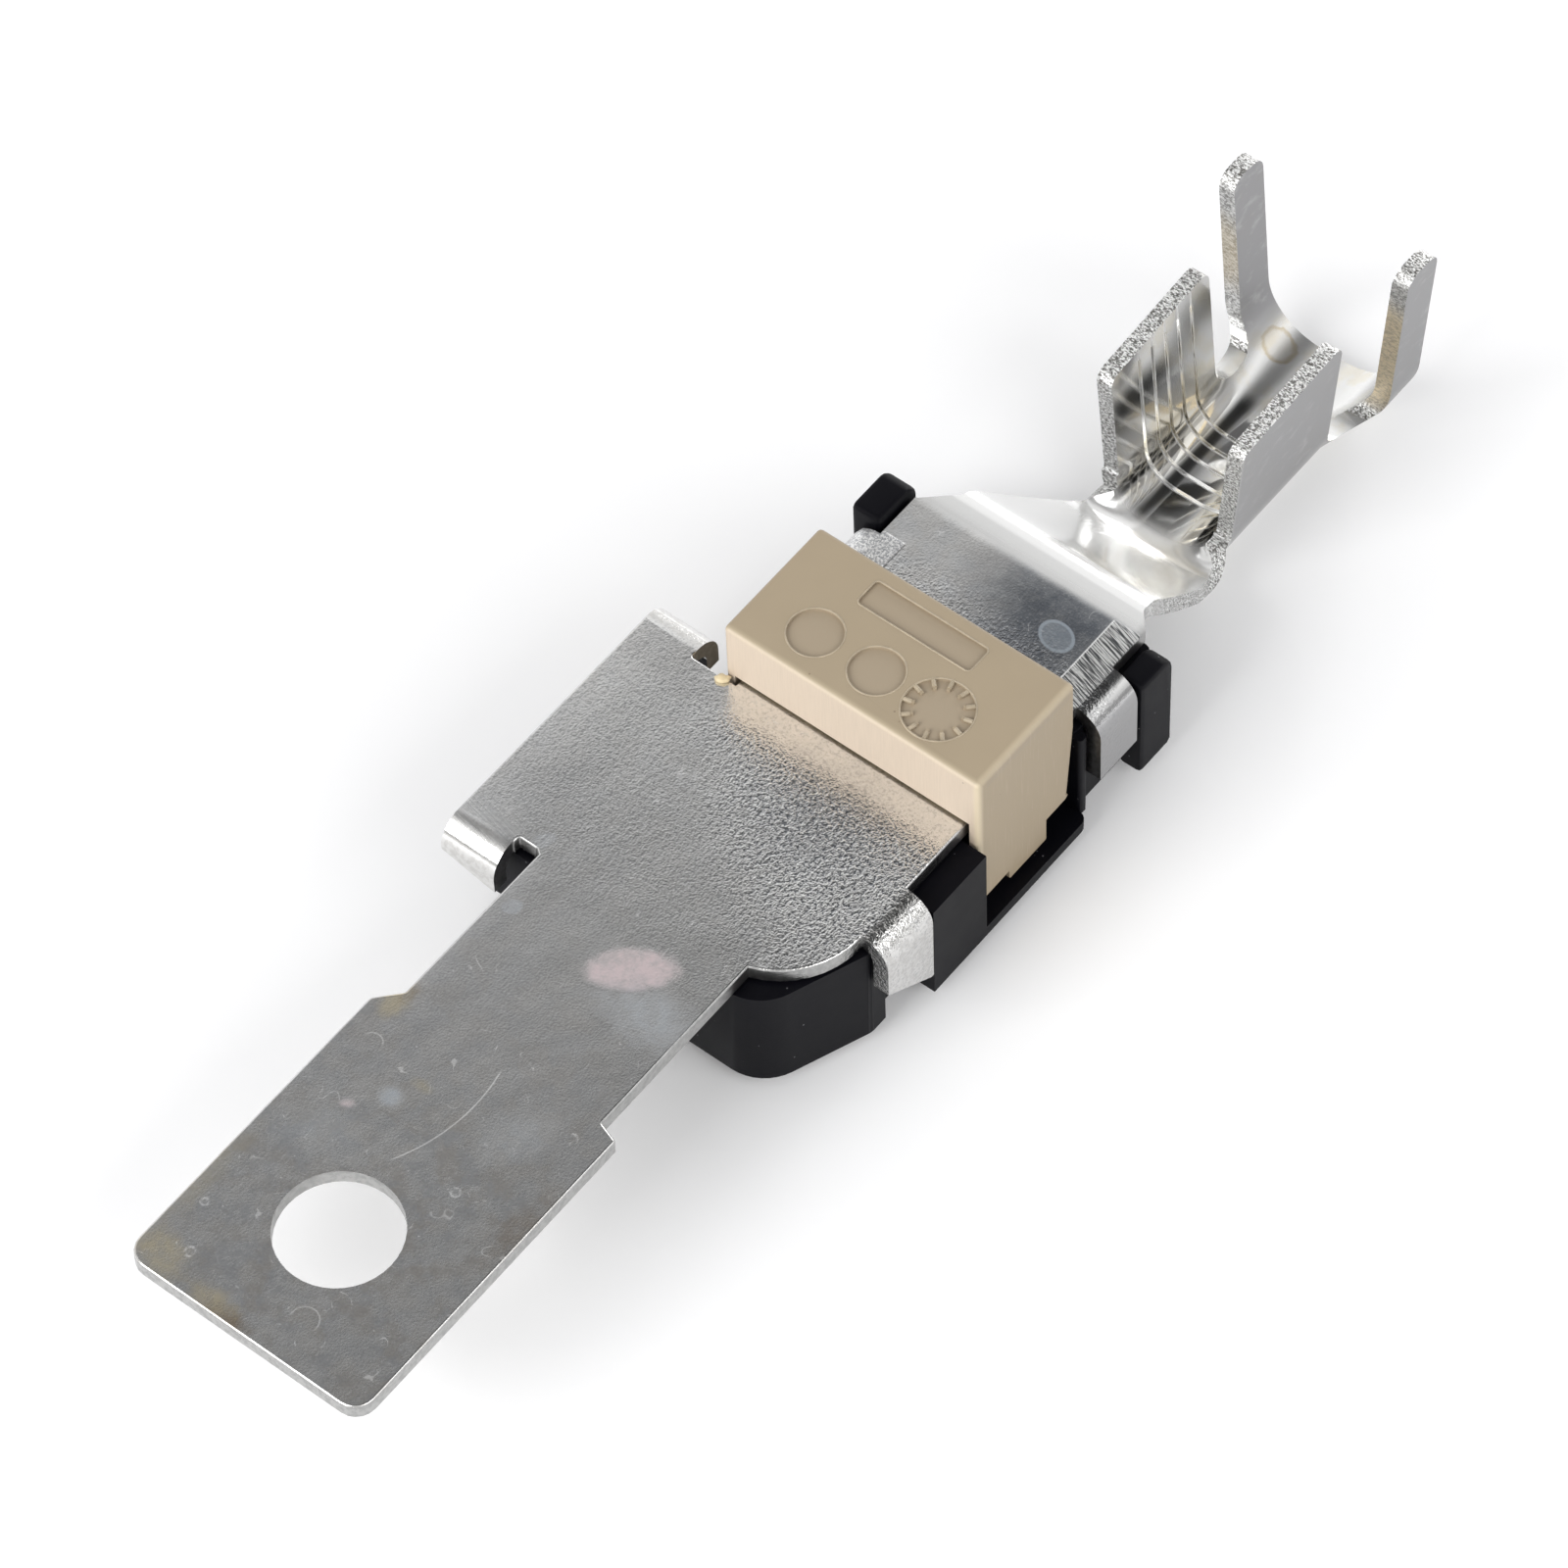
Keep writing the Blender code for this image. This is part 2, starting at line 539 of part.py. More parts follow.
def tray_nose(inset):
    """The front right corner of the front tray, or of a line inset from it, as rounded's corners.

    The front wall turns by a round corner into a wall that slants out to the right wall.
    """
    right_wall = PLATE_RIGHT - TAB_FACE
    sin, cos = math.sin(NOSE_TURN), math.cos(NOSE_TURN)
    slant_run = (NOSE_START - right_wall) * cos
    return [(CARRIER_FRONT + inset, NOSE_START + inset * (1 - sin) / cos, NOSE_RADIUS - inset),
            (CARRIER_FRONT + (slant_run + inset * (1 - cos)) / sin, right_wall + inset, 1.5 * MM)]


def carrier():
    """An open tray under the plate, a shelf under the fuse bridge and a tray under the back plate."""
    right_wall = PLATE_RIGHT - TAB_FACE
    left_wall = STRIP_LEFT + TAB_FACE
    front_left = WING_LEFT - 0.2 * MM
    side_block = PLATE_RIGHT - CARRIER_SIDE
    recess_start = SIDE_TAB_START + 1.6 * MM
    block_start = SIDE_TAB_START + SIDE_TAB_WIDTH + GAP
    top, bottom = CARRIER_TOP, -CARRIER_DEPTH
    body = plan("carrier", [rounded(tray_nose(0) + [
        (recess_start, right_wall, 0.2 * MM),
        (recess_start, right_wall + CARRIER_RECESS, 0), (block_start, right_wall + CARRIER_RECESS, 0),
        (block_start, side_block, 0), (PLATE_END, side_block, 0),
        (PLATE_END, front_left, 0.8 * MM), (CARRIER_FRONT, front_left, 1.5 * MM)], 8)], bottom, top)
    bevel(body, CARRIER_EDGE)
    shelf_end = COVER_BACK + 0.45 * MM
    shelf_left = COVER_LEFT + 0.9 * MM
    shelf = plan("shelf", [rectangle(PLATE_END - 1 * MM, side_block, shelf_end, shelf_left, 0.7 * MM)],
                 bottom, SHELF)
    keel = plan("keel", [rectangle(PLATE_END - 0.5 * MM, right_wall + 1 * MM, COVER_BACK + 2.2 * MM,
                                   left_wall - 1 * MM, 0.3 * MM)], bottom, SHELF)
    back_start = COVER_BACK + GAP
    back_bottom = bottom + BACK_FLOOR_RISE
    back_body = plan("back_body", [rectangle(
        back_start, right_wall, CARRIER_BACK, left_wall, 0.6 * MM, 3)], back_bottom, top)
    bevel(back_body, CARRIER_EDGE)
    post_start = BACK_TAB_END + GAP
    right_post = post("right_post", post_start, PLATE_RIGHT - GAP - RIGHT_POST_WIDTH, PLATE_RIGHT - GAP,
                      -RIGHT_POST_TOP)
    left_start = BACK_TAB_START + LEFT_TAB_WIDTH + GAP
    left_post = post("left_post", left_start, STRIP_LEFT + GAP, STRIP_LEFT + GAP + POST_WIDTH, POST_RISE)
    guard = plan("guard", [rectangle(
        back_start + 0.05 * MM, right_wall - 0.7 * MM, BACK_TAB_START - GAP, right_wall + 1 * MM,
        0.3 * MM)],
        back_bottom + 0.3 * MM, top - 0.2 * MM)
    for part in (shelf, keel, back_body, right_post, left_post, guard):
        combine(body, part, "UNION")
    wall = CARRIER_WALL
    pocket = plan("front_pocket", [rounded(tray_nose(wall) + [
        (PLATE_END - wall, right_wall + wall, 0.5 * MM),
        (PLATE_END - wall, front_left - wall, 0.5 * MM),
        (CARRIER_FRONT + wall, front_left - wall, 0.5 * MM)], 6)], SHELF, 1 * MM)
    back_pocket = plan("back_pocket", [rectangle(
        back_start + wall, right_wall + wall, CARRIER_BACK - wall, left_wall - wall, 0.5 * MM)],
        SHELF + BACK_FLOOR_RISE, 0.5 * CARRIER_TOP)
    combine(body, pocket, "DIFFERENCE")
    combine(body, back_pocket, "DIFFERENCE")
    return body


def post(name, front, right, left, top):
    """A stop beside the back plate's end, chamfered at its two back corners and rounded all over."""
    chamfer, low = POST_CHAMFER, -CARRIER_DEPTH
    corners = [(front, low), (CARRIER_BACK - chamfer, low), (CARRIER_BACK, low + chamfer),
               (CARRIER_BACK, top - chamfer), (CARRIER_BACK - chamfer, top), (front, top)]
    stop = side_view(name, [corners], right, left)
    bevel(stop, POST_ROUND, 2, 30)
    return stop


# Cover

def cover():
    """A cap over the fuse bridge: short front and back walls, long end walls with a tongue."""
    front, back = COVER_FRONT, COVER_BACK
    foot_back = back - COVER_TAPER
    tongue_start = front + COVER_FOOT_WIDTH
    tongue_end = tongue_start + COVER_TONGUE_WIDTH
    end_view = rounded([
        (front, -COVER_FOOT, 0.2 * MM), (tongue_start, -COVER_FOOT, 0),
        (tongue_start, -COVER_TONGUE, 0.15 * MM),
        (tongue_end, -COVER_TONGUE, 0.15 * MM), (tongue_end, -COVER_SKIRT, 0),
        (foot_back, -COVER_SKIRT, 0.5 * MM), (back, 0.5 * MM, 0), (back, COVER_HEIGHT, 0),
        (front, COVER_HEIGHT, 0)], 3)
    cap = side_view("fuse_cover", [end_view], COVER_RIGHT, COVER_LEFT)
    bevel(cap, COVER_EDGE, 3, 60)
    inner_right = COVER_RIGHT + COVER_END_WALL
    inner_left = COVER_LEFT - COVER_END_WALL
    under = side_view("cover_underside", [rectangle(
        front - 1 * MM, -COVER_TONGUE - 1 * MM, back + 1 * MM, GAP)], inner_right, inner_left)
    hollow = side_view("cover_hollow", [rectangle(
        front + COVER_WALL, -1 * MM, back - COVER_WALL, COVER_HEIGHT - COVER_WALL, 0.4 * MM)],
        inner_right, inner_left)
    combine(cap, under, "DIFFERENCE")
    combine(cap, hollow, "DIFFERENCE")
    for cutter in cover_marks():
        combine(cap, cutter, "DIFFERENCE")
    return cap


def cover_marks():
    """Shallow moulded marks in the top: two discs, a dial with ticks and a plain long recess."""
    low, high = COVER_HEIGHT - MARK_DEPTH, COVER_HEIGHT + 1 * MM
    line = COVER_FRONT + MARK_LINE
    window = COVER_BACK - 1.15 * MM - WINDOW_WIDTH
    marks = []
    for index, radius in enumerate((MARK_RADIUS, MARK_RADIUS)):
        centre = (line, MARK_MIDDLE + MARK_PITCH * (1 - index))
        marks.append(plan("disc_%d" % index, [circle(radius, centre, 28)], low, high))
    dial = (line, MARK_MIDDLE - MARK_PITCH)
    marks.append(plan("dial", [dial_outline(dial)], low, high))
    marks.append(plan("long_recess", [rectangle(
        window, WINDOW_MIDDLE - WINDOW_LENGTH / 2, window + WINDOW_WIDTH, WINDOW_MIDDLE + WINDOW_LENGTH / 2,
        WINDOW_CORNER)], low, high))
    return marks


def dial_outline(centre):
    """A round recess with short ticks left standing inwards from its rim."""
    points = []
    tick_half = 0.11 * MM
    inner = DIAL_RADIUS - 0.8 * MM
    for index in range(DIAL_TICKS):
        angle = 2 * math.pi * (index + 0.5) / DIAL_TICKS
        for radius, side in ((DIAL_RADIUS, -1), (inner, -1), (inner, 1), (DIAL_RADIUS, 1)):
            turn = angle + side * math.asin(tick_half / radius)
            points.append((centre[0] + radius * math.cos(turn), centre[1] + radius * math.sin(turn)))
        middle = angle + math.pi / DIAL_TICKS
        points.append((centre[0] + DIAL_RADIUS * math.cos(middle),
                       centre[1] + DIAL_RADIUS * math.sin(middle)))
    return points


# Materials and placing

def finish(piece, colour, roughness, metallic, smooth_angle=35):
    material = bpy.data.materials.new(piece.name)
    material.use_nodes = True
    shader = material.node_tree.nodes["Principled BSDF"]
    shader.inputs["Base Color"].default_value = colour + (1.0,)
    shader.inputs["Roughness"].default_value = roughness
    shader.inputs["Metallic"].default_value = metallic
    material.diffuse_color = colour + (1.0,)
    piece.data.materials.clear()
    piece.data.materials.append(material)
    piece.data.polygons.foreach_set("material_index", [0] * len(piece.data.polygons))
    work = bmesh.new()
    work.from_mesh(piece.data)
    for edge in work.edges:
        edge.smooth = len(edge.link_faces) == 2 and edge.calc_face_angle() < math.radians(smooth_angle)
    for face in work.faces:
        face.smooth = True
    work.to_mesh(piece.data)
    work.free()
    bpy.context.scene.collection.objects.unlink(piece)
    PART.objects.link(piece)


def set_down(pieces):
    """Moves the part so that its bounding box's bottom centre is the world's origin."""
    corners = [vertex.co for piece in pieces for vertex in piece.data.vertices]
    low = Vector([min(corner[axis] for corner in corners) for axis in range(3)])
    high = Vector([max(corner[axis] for corner in corners) for axis in range(3)])
    datum = bpy.data.objects.new("bolt_hole_datum", None)
    PART.objects.link(datum)
    datum.location = (-(low.x + high.x) / 2, -(low.y + high.y) / 2, -low.z)
    for piece in pieces:
        piece.parent = datum


clear_scene()
PART = new_collection("battery_terminal_fuse")
CUTTERS = new_collection("cutters")
STRIP = terminal_strip()
CARRIER = carrier()
COVER = cover()
finish(STRIP, (0.62, 0.62, 0.61), 0.28, 1.0)
finish(CARRIER, (0.022, 0.022, 0.024), 0.45, 0.0)
finish(COVER, (0.46, 0.36, 0.24), 0.55, 0.0)
set_down([STRIP, CARRIER, COVER])
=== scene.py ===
"""Battery terminal fuse on a pale floor: finishes for the tinned strip, the carrier and the cover.

Sizes and places on the object are in millimetres from the drawing's datum, which is the bolt
hole's centre on the strip's top face, and at() turns such a place into the frame's own, in metres.
The lamps are placed in metres, and so are the floor's half side and the ceiling's radius.
"""

import math
from functools import reduce
from types import SimpleNamespace

import bmesh
import bpy
from mathutils import Matrix, Vector
from mathutils.bvhtree import BVHTree
from mathutils.kdtree import KDTree


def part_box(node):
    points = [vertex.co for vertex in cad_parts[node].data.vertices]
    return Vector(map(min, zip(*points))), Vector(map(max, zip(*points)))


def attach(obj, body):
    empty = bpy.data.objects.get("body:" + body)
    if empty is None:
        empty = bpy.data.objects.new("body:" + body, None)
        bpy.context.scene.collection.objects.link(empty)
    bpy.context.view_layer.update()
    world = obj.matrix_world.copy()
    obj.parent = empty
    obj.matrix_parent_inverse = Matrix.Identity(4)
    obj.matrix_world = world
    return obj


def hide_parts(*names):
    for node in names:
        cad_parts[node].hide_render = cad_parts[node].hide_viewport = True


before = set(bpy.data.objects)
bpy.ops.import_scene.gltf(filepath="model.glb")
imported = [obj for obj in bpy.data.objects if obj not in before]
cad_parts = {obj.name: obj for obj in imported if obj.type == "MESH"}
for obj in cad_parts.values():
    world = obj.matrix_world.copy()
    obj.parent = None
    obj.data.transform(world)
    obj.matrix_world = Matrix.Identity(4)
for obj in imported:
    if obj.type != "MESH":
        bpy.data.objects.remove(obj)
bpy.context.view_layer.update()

MM = 0.001
SHEET = 1.2

# The datum from the strip's own box: from its ring end, its left side and its underside
HOLE_FROM_END, HOLE_FROM_LEFT, TOP_FROM_BOTTOM = 9.3, 14.2, 11.61
DATUM = Vector((
    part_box("terminal_strip")[0].x + HOLE_FROM_END * MM,
    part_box("terminal_strip")[1].y - HOLE_FROM_LEFT * MM,
    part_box("terminal_strip")[0].z + TOP_FROM_BOTTOM * MM))

# Places along the strip: the back plate's ends, where the cable end curls, and its grooves
BACK_PLATE = (57.0, 65.6)
CABLE_END = 66.0
GROOVE_ZONE = (82.0, 89.6)
FIRST_GROOVE, GROOVE_PITCH = 82.67, 1.43

# The hair's step where the cable end joins the plate: its stretch, then axes with their levels
JOIN_ZONE = (64.9, 66.0)
JOIN_LEVELS = ((1, -12.2), (1, 6.2), (2, 0.0), (2, -SHEET))
JOIN_STEP = 0.015

# Just outside the bolt hole, the inner side of the back plate's brushed strip, and the
# corners of the block that is cut from the carrier
HOLE_CLEAR = 4.4
STROKES_END = -10.1
WING_CORNER = ((27.0, 7.4, -11.5), (30.2, 15.0, -5.4))


def at(x, y, z=0.0):
    """The frame's place for millimetres measured from the bolt hole."""
    return DATUM + Vector((x, y, z)) * MM


# Shader maths

class Nodes:
    """A material's node tree, with its place in millimetres from the bolt hole's centre."""

    def __init__(self, name):
        self.material = bpy.data.materials.new(name)
        self.material.use_nodes = True
        self.tree = self.material.node_tree
        self.shader = self.tree.nodes["Principled BSDF"]
        place = Socket(self, self.tree.nodes.new("ShaderNodeTexCoord").outputs["Object"])
        offset = self.vector("SUBTRACT", place, tuple(DATUM))
        self.place = self.vector("MULTIPLY", offset, (1.0 / MM,) * 3)

    def add(self, kind, inputs, settings=None, output=0):
        node = self.tree.nodes.new(kind)
        for key, value in (settings or {}).items():
            if key == "stops":
                set_stops(node.color_ramp, value)
            else:
                setattr(node, key, value)
        for key, value in inputs.items():
            self.feed(node.inputs[key], value)
        return Socket(self, node.outputs[output])

    def feed(self, target, value):
        if isinstance(value, (Socket, bpy.types.NodeSocket)):
            self.tree.links.new(getattr(value, "socket", value), target)
        elif isinstance(value, (tuple, list)) and target.type == "RGBA" and len(value) == 3:
            target.default_value = tuple(value) + (1.0,)
        else:
            target.default_value = value

    def math(self, operation, *values):
        return self.add("ShaderNodeMath", dict(enumerate(values)), {"operation": operation})

    def mix(self, share, one, other, blend="MIX"):
        return self.add("ShaderNodeMix", {0: share, 6: one, 7: other},
                        {"data_type": "RGBA", "blend_type": blend}, 2)

    def vector(self, operation, *values, output=0):
        return self.add("ShaderNodeVectorMath", dict(enumerate(values)), {"operation": operation},
                        output)

    def stretched(self, x, y, z, turn=0.0):
        """The place turned about the sheet's normal, then shrunk by a length for each direction."""
        turned = self.turned(self.place, turn) if turn else self.place
        return self.vector("MULTIPLY", turned, (1.0 / x, 1.0 / y, 1.0 / z))

    def turned(self, vector, degrees):
        return self.add("ShaderNodeVectorRotate",
                        {"Vector": vector, "Angle": math.radians(degrees)},
                        {"rotation_type": "Z_AXIS"})

    def noise(self, size, detail=3.0, rough=0.55, vector=None):
        """Soft noise whose blobs are about size millimetres."""
        return self.add("ShaderNodeTexNoise", {
            "Vector": vector or self.place, "Scale": 1.0 / size, "Detail": detail,
            "Roughness": rough})

    def cells(self, size):
        """Distance from the middle of cells that are about size millimetres across."""
        return self.add("ShaderNodeTexVoronoi", {"Vector": self.place, "Scale": 1.0 / size})

    def ramp(self, value, *stops):
        return self.add("ShaderNodeValToRGB", {0: value}, {"stops": stops})

    def band(self, value, low, high):
        """0 at low and 1 at high, eased and clamped."""
        return self.add("ShaderNodeMapRange", {0: value, 1: low, 2: high, 3: 0.0, 4: 1.0},
                        {"interpolation_type": "SMOOTHSTEP"})

    def reach(self, x, y, z, stretch=(1, 1, 1), turn=0.0):
        """Distance from a place, shorter along a direction with a stretch above 1."""
        offset = self.vector("SUBTRACT", self.place, (x, y, z))
        if turn:
            offset = self.turned(offset, turn)
        offset = self.vector("MULTIPLY", offset, tuple(1.0 / s for s in stretch))
        return self.vector("LENGTH", offset, output=1)

    def blot(self, x, y, z, radius, soft, stretch=(1, 1, 1), turn=0.0, ragged=0.0):
        """1 inside a round or oval place, fading to 0 across its soft edge, which ragged shifts."""
        return self.band(self.reach(x, y, z, stretch, turn) + ragged, radius + soft, radius - soft)

    def bump(self, height, strength, distance):
        return self.add("ShaderNodeBump",
                        {"Height": height, "Strength": strength, "Distance": distance * MM})

    def facing(self, axis):
        """How far the surface faces along an axis, from -1 to 1."""
        return self.add("ShaderNodeNewGeometry", {}, output=1).axis(axis)

    def attribute(self, name):
        return self.add("ShaderNodeAttribute", {},
                        {"attribute_name": name, "attribute_type": "GEOMETRY"}, 2)

    def finish(self, **values):
        for key, value in values.items():
            self.feed(self.shader.inputs[key.replace("_", " ")], value)
        return self.material


def set_stops(ramp, stops):
    """Sets a ramp's stops, each a place with a grey."""
    while len(ramp.elements) < len(stops):
        ramp.elements.new(0.5)
    for element, (place, value) in zip(ramp.elements, stops):
        element.position = place
        element.color = (value, value, value, 1.0)


class Socket:
    """Wraps a shader socket, so that sums and products can be written as plain expressions."""

    def __init__(self, nodes, socket):
        self.nodes, self.socket = nodes, socket

    def __add__(self, other):
        return self.nodes.math("ADD", self, other)

    def __radd__(self, other):
        return self.nodes.math("ADD", other, self)

    def __sub__(self, other):
        return self.nodes.math("SUBTRACT", self, other)

    def __rsub__(self, other):
        return self.nodes.math("SUBTRACT", other, self)

    def __mul__(self, other):
        return self.nodes.math("MULTIPLY", self, other)

    def __rmul__(self, other):
        return self.nodes.math("MULTIPLY", other, self)

    def __truediv__(self, other):
        return self.nodes.math("DIVIDE", self, other)

    def __rtruediv__(self, other):
        return self.nodes.math("DIVIDE", other, self)

    def most(self, other):
        """The larger of two values."""
        return self.nodes.math("MAXIMUM", self, other)

    def axis(self, name):
        return self.nodes.add("ShaderNodeSeparateXYZ", {0: self}, output="XYZ".index(name))


# Pieces

def new_piece(name, mesh):
    piece = bpy.data.objects.new(name, mesh)
    bpy.context.scene.collection.objects.link(piece)
    return piece


def apply_modifiers(piece):
    """Turns what the modifiers give into the piece's plain mesh, and removes them."""
    depsgraph = bpy.context.evaluated_depsgraph_get()
    mesh = bpy.data.meshes.new_from_object(piece.evaluated_get(depsgraph))
    piece.modifiers.clear()
    piece.data = mesh


FLAT_ANGLE = 0.6
EDGE_SEGMENTS, ROLLED_SEGMENTS = 2, 3
FLATS_WEIGHT = 80
SMOOTH_ANGLE = 32


def dressed_copy(node, name, edge, rolled=None, rolled_edge=0.0, angle=38, merge=0.002):
    """A copy of a CAD node's mesh with its flats joined and its hard edges softened, edge wide.

    The edges that rolled picks get a rounder corner, rolled_edge wide, before the others get
    theirs. Edges turned by more than angle are softened, and points within merge are joined.
    """
    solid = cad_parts[node].data
    mesh = bpy.data.meshes.new(name)
    mesh.from_pydata([v.co for v in solid.vertices], [], [p.vertices for p in solid.polygons])
    work = bmesh.new()
    work.from_mesh(mesh)
    close_join_step(work)
    bmesh.ops.remove_doubles(work, verts=work.verts, dist=merge * MM)
    bmesh.ops.dissolve_degenerate(work, edges=work.edges, dist=merge * MM)
    bmesh.ops.dissolve_limit(work, angle_limit=math.radians(FLAT_ANGLE), verts=work.verts,
                             edges=work.edges)
    bmesh.ops.recalc_face_normals(work, faces=work.faces)
    if rolled:
        bmesh.ops.bevel(work, geom=[e for e in work.edges if rolled(e)], offset=rolled_edge * MM,
                        segments=ROLLED_SEGMENTS, profile=0.5, affect="EDGES",
                        clamp_overlap=False)
    work.to_mesh(mesh)
    work.free()
    piece = new_piece(name, mesh)
    bevel = piece.modifiers.new("edge", "BEVEL")
    bevel.width = edge * MM
    bevel.segments = EDGE_SEGMENTS
    bevel.limit_method = "ANGLE"
    bevel.angle_limit = math.radians(angle)
    bevel.use_clamp_overlap = True
    bevel.miter_outer = "MITER_SHARP"
    apply_modifiers(piece)
    soften(piece.data)
    weighted = piece.modifiers.new("flats", "WEIGHTED_NORMAL")
    weighted.keep_sharp = True
    weighted.weight = FLATS_WEIGHT
    apply_modifiers(piece)
    return piece


def close_join_step(work):
    """Brings the cable end's first faces, which stand off the plate by a hair, level with it."""
    for vertex in work.verts:
        place = (vertex.co - DATUM) / MM
        if not JOIN_ZONE[0] < place.x < JOIN_ZONE[1]:
            continue
        for axis, level in JOIN_LEVELS:
            if abs(place[axis] - level) < JOIN_STEP:
                vertex.co[axis] = DATUM[axis] + level * MM


def sheet_edge(edge):
    """Picks the plate's top outline, which the punch has rolled over, but not the bolt hole."""
    if len(edge.link_faces) != 2:
        return False
    ends = [(v.co - DATUM) / MM for v in edge.verts]
    upright = sorted(abs(face.normal.z) for face in edge.link_faces)
    on_top = min(p.z for p in ends) > -0.02 and upright[0] < 0.1 and upright[1] > 0.99
    return (on_top and max(p.x for p in ends) < BACK_PLATE[0]
            and min(p.xy.length for p in ends) > HOLE_CLEAR)


CORNER_ANGLE, CORNER_HAIR, CORNER_HEIGHT = 35, 0.1, 3.0


def cover_corner(edge):
    """Picks the cover's top outline and its upright corners."""
    if len(edge.link_faces) != 2 or edge.calc_face_angle(0) < math.radians(CORNER_ANGLE):
        return False
    low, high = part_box("fuse_cover")
    ends = [v.co for v in edge.verts]
    hair = CORNER_HAIR * MM
    at_end = all(min(p.y - low.y, high.y - p.y) < hair for p in ends)
    outside = all(min(p.x - low.x, high.x - p.x, p.y - low.y, high.y - p.y) < hair for p in ends)
    on_top = all(high.z - p.z < hair for p in ends)
    upright = abs(ends[0].z - ends[1].z) > CORNER_HEIGHT * MM
    return (on_top and outside) or (at_end and upright)


def soften(mesh, angle=SMOOTH_ANGLE):
    """Shades faces smooth, and keeps the edges sharp that turn by more than the angle."""
    work = bmesh.new()
    work.from_mesh(mesh)
    for face in work.faces:
        face.smooth = True
    for edge in work.edges:
        edge.smooth = len(edge.link_faces) == 2 and edge.calc_face_angle(0) < math.radians(angle)
    work.to_mesh(mesh)
    work.free()


# Finishes

TIN_DULL = (0.40, 0.41, 0.43)
TIN_DULL_WARM = (0.42, 0.395, 0.37)
TIN_BRIGHT = (0.93, 0.93, 0.92)
# Painted shade for the skins of the wings and tabs, set by the way they face
TIN_SKIN_SHADE = (0.27, 0.268, 0.274)
# Dark tin for the patches beside the cover and the painted shade in the pebbles' hollows
TIN_DARK = (0.17, 0.185, 0.21)
GOLD_TARNISH = (0.86, 0.77, 0.56)
BRONZE_TARNISH = (0.62, 0.50, 0.30)
BROWN_TARNISH = (0.40, 0.30, 0.20)
PINK_SMEAR = (0.76, 0.62, 0.63)
BLUE_TINT = (0.44, 0.50, 0.56)
# White of the real marks, also used for painted highlights and glints
WHITE_MARK_AND_HIGHLIGHT = (0.97, 0.97, 0.96)
SHEAR_DARK = (0.16, 0.155, 0.145)
# Grey of the cut edges, which also carries painted shade on them and on the crimp's wing ends
SHEAR_GREY_AND_SHADE = (0.36, 0.36, 0.355)
# Painted shade for the plate's rolled top outline
ROLLED_GREY_AND_SHADE = (0.66, 0.65, 0.63)
STROKE_DARK = (0.12, 0.125, 0.13)
STROKE_PALE = (0.90, 0.90, 0.89)

# Stains on the plate: colour, x, y, radius, soft edge, stretch along x and y, turn, share
PLATE_STAINS = (
    (GOLD_TARNISH, -7.9, 7.6, 1.2, 0.8, (1.0, 1.5), 20, 0.75),
    (BROWN_TARNISH, -8.9, 1.6, 0.6, 0.5, (1.0, 2.4), 0, 0.80),
    (GOLD_TARNISH, -8.5, 2.9, 0.7, 0.5, (1.0, 2.2), 0, 0.72),
    (GOLD_TARNISH, 15.0, 8.0, 0.8, 0.5, (1.6, 1.0), 0, 0.75),
    (BROWN_TARNISH, 15.9, 7.6, 0.4, 0.4, (1.6, 1.0), 0, 0.45),
    (GOLD_TARNISH, 11.1, 2.6, 0.35, 0.25, (1.0, 1.9), 0, 0.60),
    (PINK_SMEAR, 7.3, 5.5, 0.28, 0.25, (1.6, 1.0), 52, 0.60),
    (BROWN_TARNISH, 6.5, -8.7, 0.8, 0.7, (2.6, 1.0), 0, 0.45),
    (GOLD_TARNISH, -2.0, 8.9, 0.6, 0.6, (6.0, 1.0), 0, 0.35),
    (PINK_SMEAR, 25.7, -2.3, 1.55, 0.35, (1.85, 1.0), 52, 0.85),
    (BLUE_TINT, 23.6, -5.6, 1.6, 1.3, (1.0, 1.8), 0, 0.45),
    (BLUE_TINT, 9.3, 3.6, 0.70, 0.45, (1.0, 1.0), 0, 0.50),
    (BLUE_TINT, 12.0, -4.5, 1.3, 1.0, (1.8, 1.0), 30, 0.20),
    (BLUE_TINT, 5.0, 5.6, 1.2, 1.0, (1.8, 1.0), 52, 0.22),
    (BLUE_TINT, 24.8, 6.7, 0.70, 0.15, (1.0, 0.8), 45, 0.35),
    (BLUE_TINT, 29.9, 8.3, 0.60, 0.15, (1.4, 0.8), 30, 0.30),
)

# Small rings that drops left in the tin: x, y, radius
DROP_RINGS = ((13.75, -7.2, 0.36), (31.2, -8.5, 0.32), (-6.75, 6.2, 0.34), (-3.5, 7.85, 0.26),
              (6.4, -4.0, 0.30))

# The large ring that a drop left on the back plate
DROP_STAIN = (62.3, -7.9, 0.0)

# Curved scratches, each a piece of a circle: centre x and y, radius, lowest and highest x, share
SCRATCHES = (
    (12.05, 12.14, 13.04, 5.9, 14.8, 0.50),
    (-6.2, -2.5, 0.95, -6.4, -4.9, 0.35),
    (11.6, 7.2, 0.75, 11.9, 13.0, 0.35),
)


def scaled(colour, factor):
    """A colour made darker or paler."""
    return tuple(min(1.0, part * factor) for part in colour)


def in_zone(n, axis, low, high, soft):
    """1 between two places along an axis, with a soft edge at both."""
    place = n.place.axis(axis)
    return n.band(place, low - soft, low + soft) * n.band(place, high + soft, high - soft)


def hairlines(n, long, thin, turn, amount):
    """Sparse straight hairlines along one direction on the flats."""
    lines = n.noise(1.0, 1.0, 0.5, n.stretched(long, thin, 3.0, turn))
    where = n.noise(2.6, 2.0, 0.6)
    return n.band(lines, 0.66, 0.74) * n.band(where, 0.62 - amount, 0.70 - amount)


